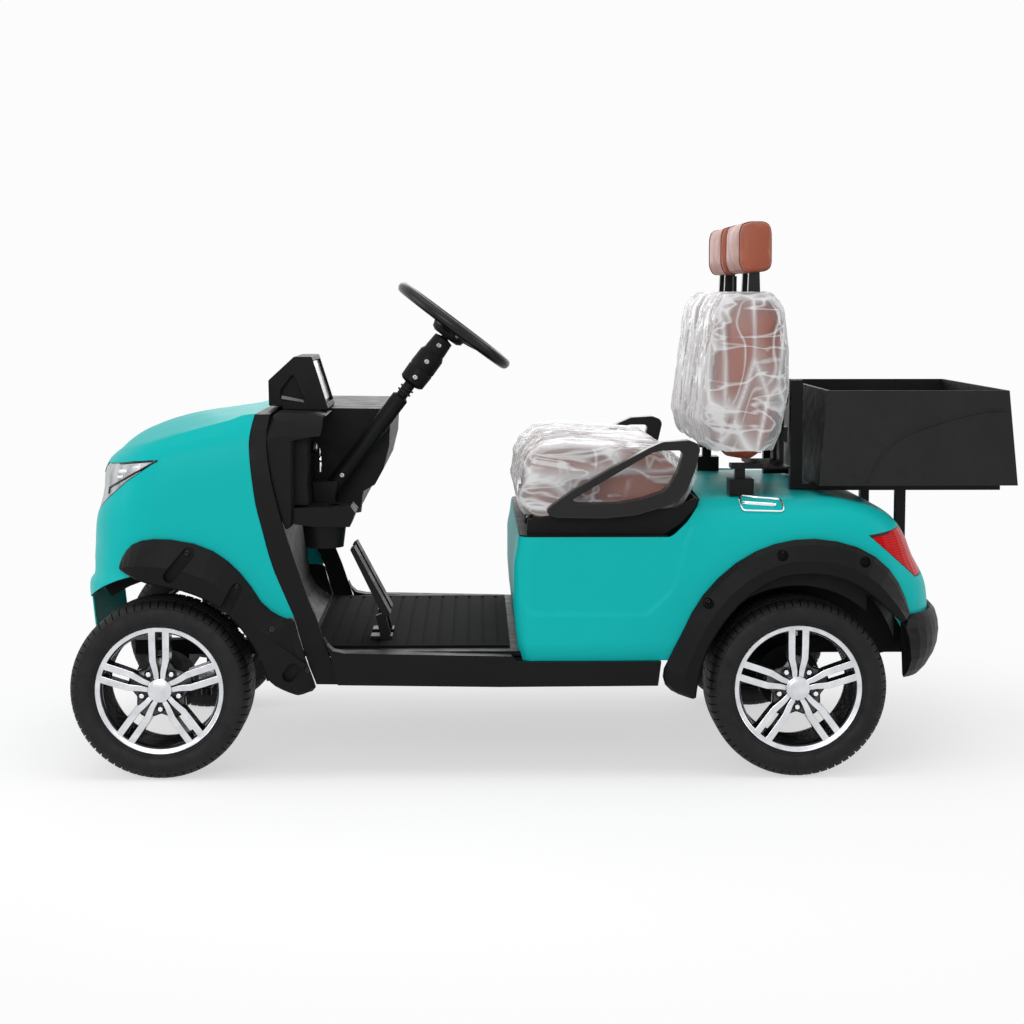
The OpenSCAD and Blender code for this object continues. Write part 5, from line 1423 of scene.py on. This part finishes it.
def build_flare_screws():
    spots = (("front", side_of("front_flares"), [seen_at(187, 553, 0.57), seen_at(237, 586, 0.57), seen_at(273, 628, 0.57), seen_at(307, 670, 0.57)]),
             ("rear", side_of("rear_flares"), [seen_at(708, 601, 0.57), seen_at(782, 551, 0.57), seen_at(864, 557, 0.57)]))
    for tag, surf, points in spots:
        for s, side in ((1, "left"), (-1, "right")):
            parts = []
            for x, z in points:
                got = surf(x, z, s)
                if got:
                    at, n = got
                    parts.append(hex_bolt("screw", at + n * 0.0004, n, 0.0085, 0.0035, "satin"))
            if parts:
                ride(join("flare_screws_%s_%s" % (tag, side), parts), "body", "black_plastic")


def seen_at(u, v, y):
    eye = Vector((0.198, 6.0, 1.245))
    forward = Vector((-0.0185764, -0.99472879, -0.10084415)).normalized()
    q = forward.to_track_quat("-Z", "Y")
    f = 74.92 / 36 * 1024
    ray = q @ Vector(((u - 512) / f, (512 - v) / f, -1))
    p = eye + ray * ((y - eye.y) / ray.y)
    return p.x, p.z


def build_handles():
    deck = side_of("rear_body")
    for s, tag in ((1, "left"), (-1, "right")):
        corners = [seen_at(u, v, 0.47) for u, v in ((738, 498), (780, 500), (781, 510), (739, 509))]
        ring = []
        path = rounded(corners, 0.012, 4)
        pts = line_on(deck, path + path[:1], s, 0.003, 2)
        if len(pts) < 8:
            continue
        parts = [tube("ring", pts, 0.0042, "chrome", 10, closed=True, flat=0.7)]
        bar = line_on(deck, [seen_at(741, 503, 0.47), seen_at(778, 505, 0.47)], s, 0.004, 8)
        parts.append(tube("bar", bar, 0.0058, "chrome", 12, flat=0.6))
        ride(join("deck_handle_" + tag, parts), "body", "chrome", "deck_handles")


def build_liners():
    """Black inner walls of the wheel arches."""
    for axle, r1, r0, tag, first in ((FRONT, 0.298, 0.264, "front", 54), (REAR, 0.306, 0.205, "rear", 12)):
        for s, side in ((1, "left"), (-1, "right")):
            angles = [math.radians(a) for a in range(first, 169, 6)]
            outline = [(axle.x + r1 * math.cos(a), axle.z + r1 * math.sin(a)) for a in angles]
            outline += [(axle.x + r0 * math.cos(a), axle.z + r0 * math.sin(a)) for a in reversed(angles)]
            y0, y1 = sorted((s * 0.335, s * 0.339))
            ride(prism("arch_wall_%s_%s" % (tag, side), outline, y0, y1, "plastic"), "body", "black_plastic")


def build_box_relief():
    """A ridge along the rim of the raised field on each side wall of the cargo box, where its pale line runs."""
    wall = side_of("cargo_box")
    curve = at_axle(REAR, [(-199, 522), (-214, 554), (-247, 607), (-300, 647), (-379, 676), (-497, 707), (-576, 713)])
    curve = smooth_path([Vector((x, 0, z)) for x, z in curve], 4)
    for s, tag in ((1, "left"), (-1, "right")):
        path = line_on(wall, [(p.x, p.z) for p in curve], s, 0.0002, 2)
        if len(path) > 4:
            ride(tube("box_relief_" + tag, path, 0.0028, "box", 8), "body", "box_plastic")


def build_headrest_posts():
    low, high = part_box("headrests")
    b_low, b_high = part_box("backrests")
    for s, tag in ((1, "left"), (-1, "right")):
        parts = []
        for y in (0.20, 0.33):
            x = (low[0] + high[0]) / 2
            sleeve = prism("sleeve", rounded([(x - 0.017, b_high[2] - 0.010), (x + 0.017, b_high[2] - 0.010),
                                              (x + 0.014, low[2] + 0.012), (x - 0.014, low[2] + 0.012)], 0.004, 3),
                           *sorted((s * (y - 0.011), s * (y + 0.011))), "satin")
            bevel(sleeve, 0.003, 2, 30)
            parts.append(sleeve)
        ride(join("headrest_sleeves_" + tag, parts), "body", "black_plastic")


build_lamp_trim()
build_flare_screws()
build_handles()
build_liners()
build_box_relief()
build_headrest_posts()


# ---------------------------------------------------------------- studio

def lamp(name, place, aim, size, power, size_y=None):
    data = bpy.data.lights.new(name, "AREA")
    data.energy = power
    data.shape = "RECTANGLE"
    data.size = size
    data.size_y = size_y or size
    obj = bpy.data.objects.new(name, data)
    bpy.context.scene.collection.objects.link(obj)
    obj.location = place
    obj.rotation_euler = (Vector(aim) - Vector(place)).to_track_quat("-Z", "Y").to_euler()
    return obj


def seen_rays(tree):
    """1 for the rays that the camera, gloss and glass send out, otherwise 0."""
    lp = tree.nodes.new("ShaderNodeLightPath")
    last = lp.outputs["Is Camera Ray"]
    for kind in ("Is Glossy Ray", "Is Transmission Ray"):
        m = tree.nodes.new("ShaderNodeMath")
        m.operation = "MAXIMUM"
        tree.links.new(last, m.inputs[0])
        tree.links.new(lp.outputs[kind], m.inputs[1])
        last = m.outputs[0]
    return last


def build_studio():
    scene = bpy.context.scene
    scene.view_settings.view_transform = "Standard"
    white = 0.975
    world = bpy.data.worlds.new("studio")
    world.use_nodes = True
    scene.world = world
    t = world.node_tree
    dim = t.nodes["Background"]
    dim.inputs["Color"].default_value = (1, 1, 1, 1)
    dim.inputs["Strength"].default_value = 0.45
    seen = t.nodes.new("ShaderNodeBackground")
    seen.inputs["Color"].default_value = (white, white, white, 1)
    mix = t.nodes.new("ShaderNodeMixShader")
    t.links.new(seen_rays(t), mix.inputs["Fac"])
    t.links.new(dim.outputs[0], mix.inputs[1])
    t.links.new(seen.outputs[0], mix.inputs[2])
    t.links.new(mix.outputs[0], t.nodes["World Output"].inputs["Surface"])

    bpy.ops.mesh.primitive_circle_add(vertices=96, radius=30, fill_type="NGON", location=(0, 0, -0.0005))
    floor = bpy.context.object
    floor.name = "studio_floor"
    mat = bpy.data.materials.new("studio_floor")
    mat.use_nodes = True
    ft = mat.node_tree
    ft.nodes.remove(ft.nodes["Principled BSDF"])
    plain = ft.nodes.new("ShaderNodeBsdfDiffuse")
    plain.inputs["Color"].default_value = (0.8, 0.8, 0.8, 1)
    lit = ft.nodes.new("ShaderNodeBsdfDiffuse")
    lit.inputs["Color"].default_value = (0.5, 0.5, 0.5, 1)
    glow = ft.nodes.new("ShaderNodeEmission")
    glow.inputs["Color"].default_value = (1, 1, 1, 1)
    glow.inputs["Strength"].default_value = FLOOR_GLOW
    near = ft.nodes.new("ShaderNodeAddShader")
    ft.links.new(lit.outputs[0], near.inputs[0])
    ft.links.new(glow.outputs[0], near.inputs[1])
    far = ft.nodes.new("ShaderNodeEmission")
    far.inputs["Color"].default_value = (white, white, white, 1)
    tc = ft.nodes.new("ShaderNodeTexCoord")
    size = ft.nodes.new("ShaderNodeVectorMath")
    size.operation = "LENGTH"
    ft.links.new(tc.outputs["Object"], size.inputs[0])
    reach = ft.nodes.new("ShaderNodeMapRange")
    reach.inputs["From Min"].default_value = 1.35
    reach.inputs["From Max"].default_value = 2.6
    reach.interpolation_type = "SMOOTHSTEP"
    ft.links.new(size.outputs["Value"], reach.inputs["Value"])
    ground = ft.nodes.new("ShaderNodeMixShader")
    ft.links.new(reach.outputs[0], ground.inputs["Fac"])
    ft.links.new(near.outputs[0], ground.inputs[1])
    ft.links.new(far.outputs[0], ground.inputs[2])
    both = ft.nodes.new("ShaderNodeMixShader")
    ft.links.new(seen_rays(ft), both.inputs["Fac"])
    ft.links.new(plain.outputs[0], both.inputs[1])
    ft.links.new(ground.outputs[0], both.inputs[2])
    ft.links.new(both.outputs[0], ft.nodes["Material Output"].inputs["Surface"])
    floor.data.materials.append(mat)

    lamp("key_top", (0.4, 1.2, 4.6), (0, 0, 0.5), 4.5, 46, 3.0)
    lamp("key_side", (1.6, 5.6, 2.6), (0, 0, 0.6), 3.4, 80, 2.2)
    lamp("rear_fill", (-5.2, 1.0, 2.2), (-0.6, 0, 0.6), 2.6, 40)
    lamp("front_fill", (5.2, 1.0, 2.2), (0.8, 0, 0.6), 2.6, 45)
    lamp("far_fill", (0, -5.2, 2.8), (0, 0, 0.6), 3.6, 60)


FLOOR_GLOW = 0.58


def build_camera():
    cam = bpy.data.cameras.new("photo_view")
    cam.lens = 74.92
    cam.sensor_width = 36
    obj = bpy.data.objects.new("photo_view", cam)
    bpy.context.scene.collection.objects.link(obj)
    obj.location = (0.198, 6.0, 1.245)
    forward = Vector((-0.0185764, -0.99472879, -0.10084415))
    obj.rotation_euler = forward.to_track_quat("-Z", "Y").to_euler()
    bpy.context.scene.camera = obj


build_studio()
build_camera()
